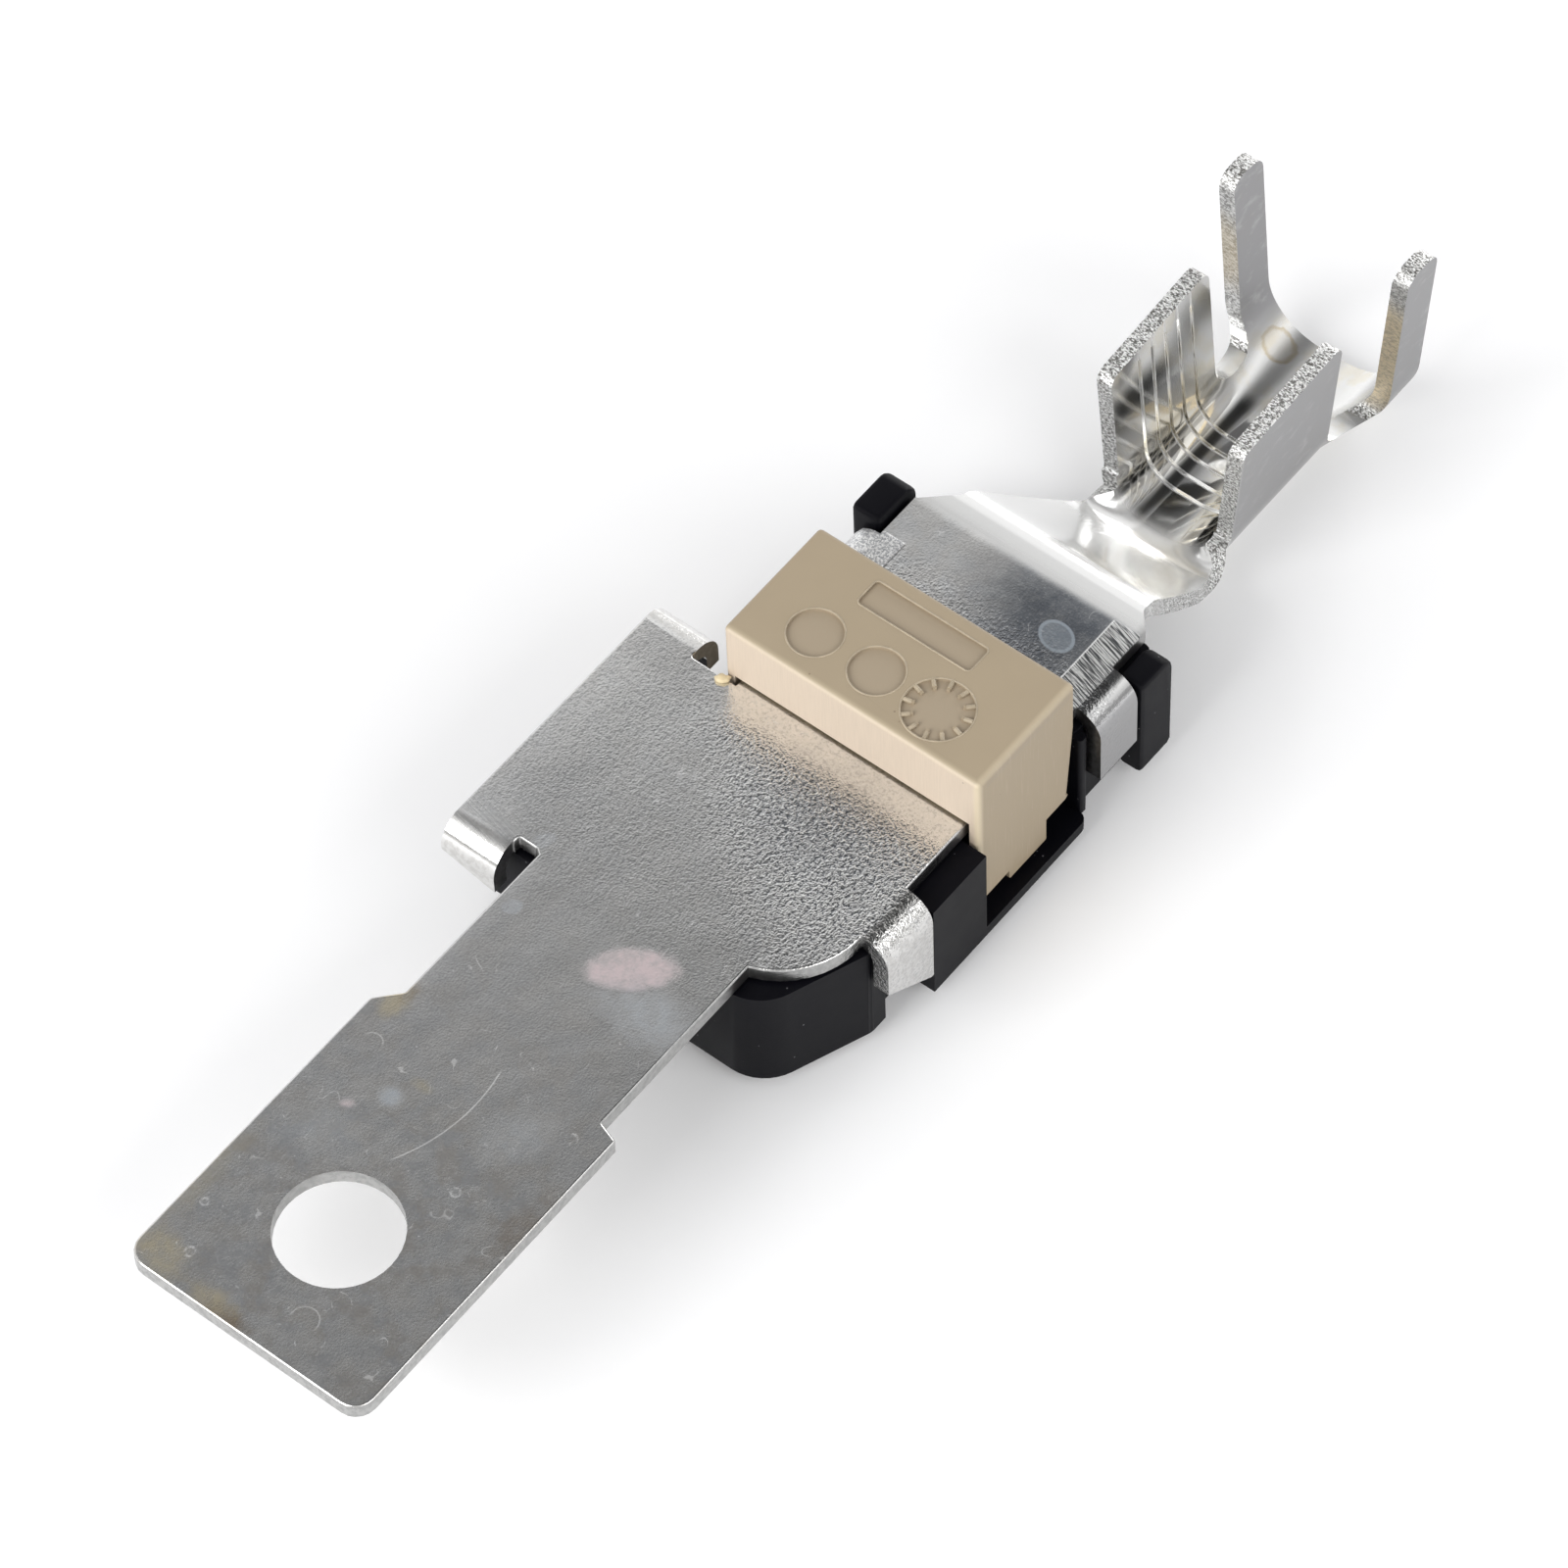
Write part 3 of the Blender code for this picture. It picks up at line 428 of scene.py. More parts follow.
def plate_marks(n):
    """White marks on the flats: hairlines, nicks, curled hairs, drop rings and scratches."""
    marks = hairlines(n, 2.2, 0.05, 25.0, 0.02).most(hairlines(n, 1.8, 0.05, -50.0, 0.02)) * 0.36
    marks = marks.most(0.5 * n.band(n.cells(0.9), 0.075, 0.045) * n.band(n.noise(1.9), 0.54, 0.60))
    curl = n.band(n.math("ABSOLUTE", n.noise(2.3, 1.0, 0.5) - 0.5), 0.0085, 0.0025)
    marks = marks.most(0.34 * curl * n.band(n.noise(1.3, 2.0, 0.6), 0.57, 0.64))
    for x, y, radius in DROP_RINGS:
        off = n.math("ABSOLUTE", n.reach(x, y, 0.0) - radius)
        broken = n.band(n.noise(0.35, 1.0), 0.35, 0.60)
        marks = marks.most(n.band(off, 0.13, 0.03) * broken * 0.40)
    for x, y, radius, low, high, share in SCRATCHES:
        off = n.math("ABSOLUTE", n.reach(x, y, 0.0) - radius)
        line = n.band(off, 0.075, 0.015) * in_zone(n, "X", low, high, 0.25)
        marks = marks.most(share * line)
    return marks


def pebble_share(n):
    """How strongly the skin is pebbled: most on the right shoulder, and calmer by the cover."""
    x, y = n.place.axis("X"), n.place.axis("Y")
    calm = 0.22 + 0.78 * n.band(x, 45.6, 43.4)
    front = n.band(x - 1.1 * y, 31.0, 46.0) * n.band(x, 24.0, 38.0) * calm
    front = front * n.band(x, 52.0, 48.0)
    wing = 0.16 * n.band(x, 24.0, 34.0) * n.band(x, 52.0, 48.0)
    back = 0.55 * n.band(x, 56.0, 57.0) * n.band(x, 63.0, 58.5)
    return front.most(wing).most(back)


def stain_masks(n, flat, cloud):
    """Each stain of the plate as its mask and its colour."""
    ragged = n.noise(0.9, 3.0, 0.6)
    stains = []
    for stain, x, y, radius, soft, (along, across), turn, share in PLATE_STAINS:
        rough_edge = (ragged - 0.5) * 1.6 * soft
        spot = n.blot(x, y, 0.0, radius, soft, (along, across, 4.0), turn, rough_edge)
        stains.append((spot * share * flat * (0.55 + 0.45 * n.band(cloud, 0.35, 0.60)), stain))
    return stains


def strip_masks(n):
    """The strip's zones, marks and grains, as masks and noises that its finish is mixed from."""
    x, y, z = (n.place.axis(name) for name in "XYZ")
    m = SimpleNamespace(x=x, y=y, z=z, skin_side=n.facing("Y"), sheared=n.attribute("sheared"))

    m.crimp = n.band(x, 65.2, 66.0)
    m.inside = m.crimp * (1.0 - m.sheared)
    m.slope = n.band(x, 65.5, 66.5) * n.band(x, 80.0, 79.0)
    m.flat = (1.0 - m.crimp) * n.band(z, -0.30, -0.05)
    m.ring_end = n.band(x, 32.0, 0.0)
    m.back_plate = n.band(x, 56.0, 57.0)
    m.pebbled = pebble_share(n)

    m.cloud = n.noise(1.5, 5.0, 0.72)
    m.speckle = n.noise(0.16, 2.0, 0.6)
    wide = n.noise(6.0, 3.0, 0.6)
    m.bloom = n.band(wide * 0.35 + m.cloud * 0.45 + m.speckle * 0.20, 0.40, 0.60)
    m.pebble = n.noise(0.28, 2.5, 0.6)
    m.fine = n.noise(0.15, 2.0, 0.5)
    m.grain = n.noise(1.0, 3.0, 0.75, n.stretched(0.12, 0.26, 0.12))
    m.edge_wear = n.band(n.noise(0.5, 3.0, 0.7), 0.42, 0.62)

    m.stains = stain_masks(n, m.flat, m.cloud)
    from_drop = n.reach(*DROP_STAIN, (1.0, 1.3, 1.0), 20)
    rim = n.band(n.math("ABSOLUTE", from_drop - 0.98), 0.16, 0.04)
    m.drop = n.band(from_drop, 1.15, 1.05) * (0.55 + 0.45 * rim) * m.flat
    m.marks = plate_marks(n) * m.flat

    conductor_inside = n.band(y, -5.0, -4.0) * n.band(x, 93.0, 92.0)
    m.skin = (n.band(m.skin_side, -0.55, -0.90) * n.band(x, 79.0, 80.0)
              * (1.0 - 0.62 * conductor_inside) * (1.0 - m.sheared))
    m.crimp_edge = m.sheared * n.band(x, 67.0, 69.0)
    m.plate_edge = m.sheared * n.band(x, 69.0, 67.0)
    # The grooves' lines, where a painted highlight goes
    off_groove = n.math("FRACT", (x - FIRST_GROOVE) / GROOVE_PITCH + 0.5) - 0.5
    off_groove = n.math("ABSOLUTE", off_groove) * GROOVE_PITCH
    outer_skin = n.band(m.skin_side, -0.05, -0.20) * n.band(y, -5.0, -6.0)
    m.groove = (n.band(off_groove, 0.12, 0.05) * in_zone(n, "X", 82.0, 89.2, 0.05) * m.inside
                * (1.0 - outer_skin) * n.band(n.facing("Z"), -0.30, -0.10))

    m.streaks = n.noise(1.0, 3.0, 0.7, n.stretched(0.13, 5.0, 1.0, 12.0))
    m.brushed = n.band(x, 32.5, 28.5) * n.band(y, 8.5, 10.5) * m.flat
    m.strokes = n.noise(1.0, 2.0, 0.65, n.stretched(0.11, 2.6, 1.0, 16.0))
    along_back = in_zone(n, "X", *BACK_PLATE, 0.1)
    m.strip_end = along_back * in_zone(n, "Y", -12.4, STROKES_END, 0.04) * m.flat
    m.strip_line = n.band(n.math("ABSOLUTE", y - STROKES_END), 0.10, 0.03) * along_back * m.flat
    m.left_tab = (in_zone(n, "X", BACK_PLATE[0], 62.2, 0.06) * in_zone(n, "Y", 4.4, 8.0, 0.08)
                  * n.band(z, -0.9, -0.6))
    return m


def clouded_flats(n, m):
    """Bright tin: dull clouds on the flats, duller towards the ring end as a painted dark
    reflection, darker patches beside the cover, and painted glints and shade on the pebbles.
    """
    dull = n.mix(n.band(n.noise(2.2, 3.0, 0.6), 0.40, 0.60), TIN_DULL_WARM, TIN_DULL)
    # The extra dulling towards the ring end is a painted dark reflection
    share = 0.05 + 0.22 * m.ring_end + 0.22 * m.back_plate + (0.15 + 0.38 * m.ring_end) * m.bloom
    colour = n.mix(m.flat * share, TIN_BRIGHT, dull)
    left_side = n.band(m.y, -2.0, 9.0) * n.band(m.x, 41.0, 33.0)
    colour = n.mix(left_side * m.flat * 0.18, colour, TIN_DULL)
    by_cover = n.band(m.x, 43.0, 45.0) * n.band(m.x, 48.0, 47.0)
    colour = n.mix(by_cover * m.flat * 0.16, colour, TIN_DULL_WARM)
    dark_patch = n.blot(64.0, -7.5, 0.0, 5.4, 3.9, (1.4, 1.0, 4.0))
    dark_patch = dark_patch.most(0.40 * n.blot(42.0, -5.0, 0.0, 3.6, 3.4, (1.0, 1.2, 4.0)))
    dark_patch = dark_patch * m.flat * (0.82 + 0.16 * n.band(m.cloud, 0.40, 0.60))
    colour = n.mix(dark_patch, colour, TIN_DARK)
    # Painted shade in the pebbles' hollows and painted glints on their tops, from the same noises
    # as their bump
    valley_shade = n.band(m.pebble * 0.65 + m.fine * 0.35, 0.49, 0.41)
    colour = n.mix(valley_shade * (0.72 * m.pebbled + 0.10 * m.flat), colour, TIN_DARK)
    peak_glints = n.band(m.pebble * 0.5 + m.fine * 0.5, 0.53, 0.61)
    return n.mix(peak_glints * (0.60 * m.pebbled + 0.10 * m.flat), colour, WHITE_MARK_AND_HIGHLIGHT)


def stained(n, m, colour):
    """Stains, the drop's ring on the back plate, white marks, and the plate's rolled edge."""
    for spot, stain in m.stains:
        colour = n.mix(spot, colour, stain)
    colour = n.mix(m.drop * 0.75, colour, BLUE_TINT)
    colour = n.mix(m.marks * 0.75, colour, WHITE_MARK_AND_HIGHLIGHT)
    # Painted shade: the plate's rolled top outline is greyed
    rolled = (1.0 - m.crimp) * n.band(m.z, -0.005, -0.05) * n.band(m.x, 57.0, 56.0)
    return n.mix(rolled * (0.55 + 0.40 * m.edge_wear), colour, ROLLED_GREY_AND_SHADE)


def crimp_tarnish(n, m, colour):
    """Thin gold in the barrel and at the left wing's foot, and a brown ring by the far wings."""
    gold = n.band(n.noise(2.6, 3.0, 0.6), 0.46, 0.66) * m.inside * n.band(m.x, 78.0, 81.0)
    colour = n.mix(gold * 0.34, colour, GOLD_TARNISH)
    ragged = (n.noise(1.0, 4.0, 0.7) - 0.5) * 2.4
    wing_foot = n.blot(86.5, -0.4, -7.8, 2.3, 1.6, (1.7, 1.0, 1.0), 0.0, ragged)
    colour = n.mix(wing_foot * m.inside * 0.50, colour, GOLD_TARNISH)
    off = n.reach(96.4, -0.9, -9.8, (1.0, 1.15, 1.0)) + (n.noise(0.9, 3.0, 0.6) - 0.5) * 0.7
    ring = n.band(off, 1.35, 1.15) * (0.25 + 0.75 * n.band(off, 0.85, 1.15))
    return n.mix(ring * m.inside * 0.6, colour, BRONZE_TARNISH)


def painted_skin_shade(n, m, colour):
    """Painted shade on the upright skins of the wings and tabs, greyed according to the way they
    face, with faint bright smears.
    """
    # Painted shade: the crimp wings' outward skins are greyed, standing in for the shadowed floor
    # that they mirror
    colour = n.mix(m.skin * 0.95, colour, TIN_SKIN_SHADE)
    back_tab = n.band(m.x, 52.0, 56.0)
    # Painted shade on the tabs' outward skins, strongest on the back tab
    tab_skin_shade = n.band(m.skin_side, -0.35, -0.95) * n.band(m.x, 68.0, 67.0)
    tab_skin_shade = tab_skin_shade * (0.25 + 0.62 * back_tab)
    tab_shade_share = 0.75 + 0.25 * back_tab + 0.30 * m.edge_wear * (1.0 - back_tab)
    colour = n.mix(tab_skin_shade * tab_shade_share, colour, TIN_SKIN_SHADE)
    # Painted shade on the skins that face the far side
    far_skin_shade = n.band(m.skin_side, 0.45, 0.90) * n.band(m.x, 57.0, 58.0) * (1.0 - m.sheared)
    colour = n.mix(far_skin_shade * 0.66, colour, TIN_SKIN_SHADE)
    smear = n.band(n.noise(1.0, 4.0, 0.65, n.stretched(1.6, 1.6, 1.0)), 0.52, 0.74)
    return n.mix(m.skin * smear * 0.14, colour, TIN_BRIGHT)


def sheared_edges(n, m, colour):
    """Grey edges round the plate, partly painted shade, dark and white grains on the crimp's,
    painted shade on the crimp's upright wing ends, and a painted highlight along the grooves.
    """
    # The plate's sheared edges are greyed: partly the cut metal's own tone, partly painted shade
    colour = n.mix(m.plate_edge * (0.75 + 0.25 * m.edge_wear), colour, SHEAR_GREY_AND_SHADE)
    grains = n.mix(n.band(m.grain, 0.43, 0.57), SHEAR_DARK, WHITE_MARK_AND_HIGHLIGHT)
    colour = n.mix(m.crimp_edge, colour, grains)
    upright = m.crimp_edge * n.band(n.facing("Z"), 0.75, 0.45)
    # Painted shade: the upright sheared faces of the insulation wings are greyed
    colour = n.mix(upright * n.band(m.x, 93.0, 94.0) * 0.45, colour, SHEAR_GREY_AND_SHADE)
    right_wing = n.blot(95.0, -9.6, -2.2, 5.6, 1.4, (0.25, 1.0, 1.0)) * upright
    bronzed = right_wing * (0.40 + 0.40 * n.band(m.grain, 0.40, 0.60))
    colour = n.mix(bronzed, colour, BRONZE_TARNISH)
    left_wing = n.blot(95.0, 4.0, -1.0, 3.4, 1.6, (0.25, 1.0, 1.0)) * upright
    colour = n.mix(left_wing * 0.40, colour, BRONZE_TARNISH)
    # A painted highlight along the grooves
    return n.mix(m.groove, colour, WHITE_MARK_AND_HIGHLIGHT)


def brushed_ends(n, m, colour):
    """Brush strokes on the wing and the back plate's end, and the frosted left back tab."""
    colour = n.mix(m.brushed * 0.35 * n.band(m.streaks, 0.40, 0.62), colour, TIN_DULL)
    strokes = n.mix(n.band(m.strokes, 0.44, 0.56), STROKE_DARK, STROKE_PALE)
    colour = n.mix(m.strip_end, colour, strokes)
    colour = n.mix(m.strip_line * 0.7, colour, WHITE_MARK_AND_HIGHLIGHT)
    frost = n.mix(n.band(m.speckle, 0.42, 0.58), TIN_DULL, WHITE_MARK_AND_HIGHLIGHT)
    return n.mix(m.left_tab * 0.85, colour, frost)


def tin_height(n, m):
    """The skin's relief: pebbles, a slow wave, brush strokes and the sheared edges' grain."""
    wave = n.noise(3.5, 2.0, 0.5)
    return (m.pebble * (0.06 * (1.0 - m.crimp) + 1.25 * m.pebbled)
            + m.fine * (0.12 * m.flat + 0.50 * m.pebbled)
            + m.speckle * 0.8 * m.left_tab + wave * (0.45 - 0.35 * m.crimp)
            + m.streaks * 0.30 * m.brushed + m.strokes * 0.5 * m.strip_end
            + m.grain * (1.5 * m.crimp_edge + 0.12 * m.plate_edge))


def tin_roughness(n, m):
    insulation = n.band(m.x, 90.5, 92.5)
    barrel = n.band(m.x, 79.0, 81.0) * (1.0 - insulation)
    return (0.11 + m.flat * (0.07 + 0.07 * m.ring_end + 0.05 * m.bloom)
            + 0.10 * m.brushed + 0.12 * m.strip_end + 0.14 * m.left_tab
            + 0.20 * m.sheared + 0.10 * m.skin + 0.25 * m.groove - 0.06 * m.pebbled
            + m.inside * (0.07 * m.slope + 0.13 * insulation - 0.05 * barrel))


def tin_veil(n, m):
    """How much of the metal's mirror a pale film of smears, marks and haze takes away."""
    beside_notch = n.band(m.y, 6.4, 8.0) * n.band(m.x, 29.0, 28.0) * n.band(m.x, 15.0, 17.0)
    left_edge = n.band(m.y, 10.0, 14.0).most(beside_notch)
    films = [0.62 * spot for spot, stain in m.stains if stain in (PINK_SMEAR, BLUE_TINT)]
    films += [0.55 * m.drop, 0.60 * m.marks, 0.40 * m.left_tab, 0.25 * m.groove,
              0.30 * m.slope, 0.10 * left_edge * m.flat]
    return reduce(Socket.most, films)


def tin_finish():
    """Bright tin over copper: dull on the flats, mirror-like at the crimp, grainy where sheared."""
    n = Nodes("tinned_copper_finish")
    m = strip_masks(n)
    colour = clouded_flats(n, m)
    for layer in (stained, crimp_tarnish, painted_skin_shade, sheared_edges, brushed_ends):
        colour = layer(n, m, colour)
    return n.finish(Base_Color=colour, Metallic=1.0 - tin_veil(n, m),
                    Roughness=tin_roughness(n, m), Normal=n.bump(tin_height(n, m), 1.0, 0.045))


CARRIER_BLACK = (0.0022, 0.0022, 0.0036)
DUST = (0.16, 0.16, 0.17)


def carrier_finish():
    """Black glass-filled moulding, satin, with pale dust specks."""
    n = Nodes("black_moulding_finish")
    cloud = n.noise(3.0, 4.0, 0.6)
    tone = n.mix(cloud, CARRIER_BLACK, scaled(CARRIER_BLACK, 1.7))
    specks = n.band(n.cells(0.9), 0.080, 0.050) * n.band(n.noise(2.2), 0.46, 0.56)
    tone = n.mix(specks, tone, DUST)
    normal = n.bump(n.noise(0.16, 3.0, 0.6) + 0.6 * n.noise(0.9, 2.0, 0.5), 0.5, 0.012)
    n.shader.inputs["Specular IOR Level"].default_value = 0.10
    return n.finish(Base_Color=tone, Roughness=0.40 + 0.14 * cloud, Normal=normal)


COVER_TAN = (0.395, 0.318, 0.215)
# The front's paler tan is painted light
COVER_FRONT_LIT_TAN = (0.61, 0.505, 0.395)
# Painted highlight along the cover's outer edges
EDGE_HIGHLIGHT_TAN = (0.68, 0.58, 0.41)
RECESS_TAN = (0.385, 0.312, 0.220)
RIM_TAN = (0.45, 0.375, 0.265)
PIT_BROWN = (0.16, 0.11, 0.07)
FRONT_FACE = 47.12
TOP_FACE = 5.1


def cover_finish():
    """Tan moulding: matt top, a paler front whose paleness is painted light, with fine upright
    streaks, greyer recess floors, and painted highlights along its outer edges.
    """
    n = Nodes("tan_moulding_finish")
    x, y, z = (n.place.axis(name) for name in "XYZ")
    cloud = n.noise(4.0, 3.0, 0.55)
    tone = n.mix(cloud, scaled(COVER_TAN, 0.96), scaled(COVER_TAN, 1.04))
    recess = n.band(z, TOP_FACE - 0.05, TOP_FACE - 0.12) * in_zone(n, "X", 47.9, 56.6, 0.1)
    tone = n.mix(recess * n.band(z, 4.0, 4.2), tone, RECESS_TAN)
    # The front's paler tone is painted light; its upright streaks are the moulding's own
    front = n.band(x, FRONT_FACE + 0.16, FRONT_FACE + 0.05)
    streaks = n.noise(1.0, 3.0, 0.65, n.stretched(1.0, 0.11, 2.6))
    streaked = n.mix(streaks, scaled(COVER_FRONT_LIT_TAN, 0.90), scaled(COVER_FRONT_LIT_TAN, 1.10))
    tone = n.mix(front, tone, streaked)
    end = n.band(y, -12.9, -13.05)
    drawn = n.noise(1.0, 3.0, 0.65, n.stretched(0.10, 1.0, 3.0))
    tone = n.mix(end * n.band(drawn, 0.55, 0.75) * 0.25, tone, COVER_FRONT_LIT_TAN)
    # A painted highlight on the upright corner between the front and the end, and on the top's
    # edges above them
    near_front = n.band(x, FRONT_FACE + 0.55, FRONT_FACE + 0.12)
    near_end = n.band(y, -12.7, -13.1)
    near_top = n.band(z, TOP_FACE - 0.50, TOP_FACE - 0.12)
    edge = (near_front * near_end).most(0.55 * near_top * near_end)
    edge = edge.most(0.45 * near_top * near_front)
    tone = n.mix(edge * 0.8, tone, EDGE_HIGHLIGHT_TAN)
    pits = n.band(n.cells(1.5), 0.060, 0.035) * n.band(n.noise(2.5), 0.52, 0.58)
    tone = n.mix(pits * 0.6, tone, PIT_BROWN)
    grain = n.noise(0.14, 3.0, 0.6) * (1.0 - front) + streaks * 1.4 * front + drawn * 0.8 * end
    normal = n.bump(grain + 0.7 * n.noise(1.6, 2.0, 0.5), 0.45, 0.012)
    return n.finish(Base_Color=tone, Roughness=0.44 + 0.10 * cloud, Normal=normal)


def rim_finish():
    """The tan moulding where it stands up as thin rims and ticks, a little rubbed."""
    n = Nodes("tan_rim_finish")
    rubbed = n.band(n.noise(0.8, 3.0, 0.6), 0.35, 0.65)
    tone = n.mix(rubbed, scaled(RIM_TAN, 0.88), scaled(RIM_TAN, 1.08))
    return n.finish(Base_Color=tone, Roughness=0.42 + 0.08 * rubbed,
                    Normal=n.bump(n.noise(0.2), 0.4, 0.01))


FLASH_CREAM = (0.72, 0.60, 0.38)


def flash_finish():
    """Cream plastic squeezed out at the cover's corner."""
    n = Nodes("cream_flash_finish")
    cloud = n.noise(0.35, 3.0, 0.6)
    tone = n.mix(cloud, scaled(FLASH_CREAM, 0.75), scaled(FLASH_CREAM, 1.2))
    return n.finish(Base_Color=tone, Roughness=0.38 + 0.15 * cloud,
                    Normal=n.bump(cloud, 0.6, 0.05))


# What the strip's finish and shading read from its own faces

LONGEST_LOOK = 30.0
SHEARED_SHARE = 1.35
GROOVE_WALL = 0.4


def mark_sheared(piece):
    """Writes 1 on the faces that run through the sheet's thickness, and 0 on its two skins.

    A face is on a skin when the sheet behind it is about as thick as the sheet.
    """
    mesh = piece.data
    mesh.calc_loop_triangles()
    largest = {}
    for triangle in mesh.loop_triangles:
        kept = largest.get(triangle.polygon_index)
        if kept is None or triangle.area > kept.area:
            largest[triangle.polygon_index] = triangle
    corners = [v.co for v in mesh.vertices]
    tree = BVHTree.FromPolygons(corners, [p.vertices for p in mesh.polygons])
    grooves = [at(x, 0.0).x for x in GROOVE_ZONE]
    values = []
    for face in mesh.polygons:
        middle = sum((corners[i] for i in largest[face.index].vertices), Vector()) / 3
        inside = middle - face.normal * 0.01 * MM
        distance = tree.ray_cast(inside, -face.normal, LONGEST_LOOK * MM)[3]
        across = distance is None or distance > SHEET * SHEARED_SHARE * MM
        in_groove = abs(face.normal.x) > GROOVE_WALL and grooves[0] < middle.x < grooves[1]
        values.append(1.0 if across and not in_groove else 0.0)
    layer = mesh.attributes.new("sheared", "FLOAT", "FACE")
    layer.data.foreach_set("value", values)


def sheet_samples(mesh, first, spacing):
    """Points spread over the skins past a place along the strip, with their way out and area."""
    sheared = mesh.attributes["sheared"].data
    samples = []
    for triangle in mesh.loop_triangles:
        corners = [mesh.vertices[i].co for i in triangle.vertices]
        if sheared[triangle.polygon_index].value > 0.5 or max(c.x for c in corners) < first:
            continue
        sides = [(corners[i] - corners[i - 1]).length for i in range(3)]
        longest = sides.index(max(sides))
        one, other, apex = corners[longest - 1], corners[longest], corners[longest - 2]
        along = max(1, round(sides[longest] / spacing))
        across = max(1, round(2 * triangle.area / sides[longest] / spacing))
        for i in range(along):
            foot = one.lerp(other, (i + 0.5) / along)
            for j in range(across):
                spot = foot.lerp(apex, 1 - math.sqrt(1 - (j + 0.5) / across))
                samples.append((spot, triangle.normal.copy(), triangle.area / along / across))
    return samples


SHADING_RADIUS = 0.9
SHADING_SPACING = 0.35
SHADING_TURN = 34
SHADING_LEAD = 2.0


def even_shading(piece, start):
    """Shades the curled cable end by its mean slope, so that its narrow flats read as one curve."""
    mesh = piece.data
    mesh.calc_loop_triangles()
    radius = SHADING_RADIUS * MM
    samples = sheet_samples(mesh, at(start - SHADING_LEAD, 0.0).x, SHADING_SPACING * MM)
    tree = KDTree(len(samples))
    for index, (place, _, _) in enumerate(samples):
        tree.insert(place, index)
    tree.balance()
    least = math.cos(math.radians(SHADING_TURN))
    first = at(start, 0.0).x
    normals = [Vector(corner.vector) for corner in mesh.corner_normals]
    known = {}
    for index, loop in enumerate(mesh.loops):
        place = mesh.vertices[loop.vertex_index].co
        if place.x < first:
            continue
        key = (loop.vertex_index, *(round(c, 2) for c in normals[index]))
        if key not in known:
            total = Vector()
            for _, near, distance in tree.find_range(place, radius):
                _, way_out, area = samples[near]
                if way_out.dot(normals[index]) > least:
                    total += way_out * area * (1.05 - distance / radius)
            known[key] = total.normalized() if total.length > 0 else normals[index]
        normals[index] = known[key]
    mesh.normals_split_custom_set(normals)


# Rims and ticks of the cover's marks: the paths that a fine bead follows

MARK_LINE = 50.3
DISC_PLACES = (2.3, -2.65)
DISC_RADIUS = 1.9
DIAL_PLACE = -7.6
DIAL_RADIUS = 2.42
DIAL_TICKS = 12
TICK_LENGTH = 0.62
WINDOW = (53.75, -7.4, 56.0, 1.75)
WINDOW_CORNER = 0.35
RIM_RADIUS, RIM_DEPTH = 0.075, 0.03
TICK_RADIUS, TICK_DEPTH, TICK_GAP = 0.17, 0.11, 0.04
RIM_SIDES = 8
ROUND_STEPS, CORNER_STEPS = 56, 5


def on_circle(x, y, radius, turn):
    return x + radius * math.cos(turn), y + radius * math.sin(turn)


def round_path(x, y, radius):
    return [on_circle(x, y, radius, 2 * math.pi * i / ROUND_STEPS) for i in range(ROUND_STEPS)]


def window_path(low_x, low_y, high_x, high_y, corner):
    """A rectangle with rounded corners, as a closed path."""
    left, right, low, high = low_x + corner, high_x - corner, low_y + corner, high_y - corner
    path = []
    for x, y, start in ((right, high, 0), (left, high, 90), (left, low, 180), (right, low, 270)):
        for step in range(CORNER_STEPS + 1):
            turn = math.radians(start + 90 * step / CORNER_STEPS)
            path.append(on_circle(x, y, corner, turn))
    return path


def rim_paths():
    """Closed paths round each mark, then the dial's ticks as open ones."""
    closed = [round_path(MARK_LINE, y, DISC_RADIUS + RIM_RADIUS / 2) for y in DISC_PLACES]
    closed.append(round_path(MARK_LINE, DIAL_PLACE, DIAL_RADIUS + RIM_RADIUS / 2))
    closed.append(window_path(*WINDOW, WINDOW_CORNER))
    ticks = []
    for index in range(DIAL_TICKS):
        turn = 2 * math.pi * (index + 0.5) / DIAL_TICKS
        ticks.append([on_circle(MARK_LINE, DIAL_PLACE, radius, turn)
                      for radius in (DIAL_RADIUS - TICK_LENGTH, DIAL_RADIUS - TICK_GAP)])
    return closed, ticks


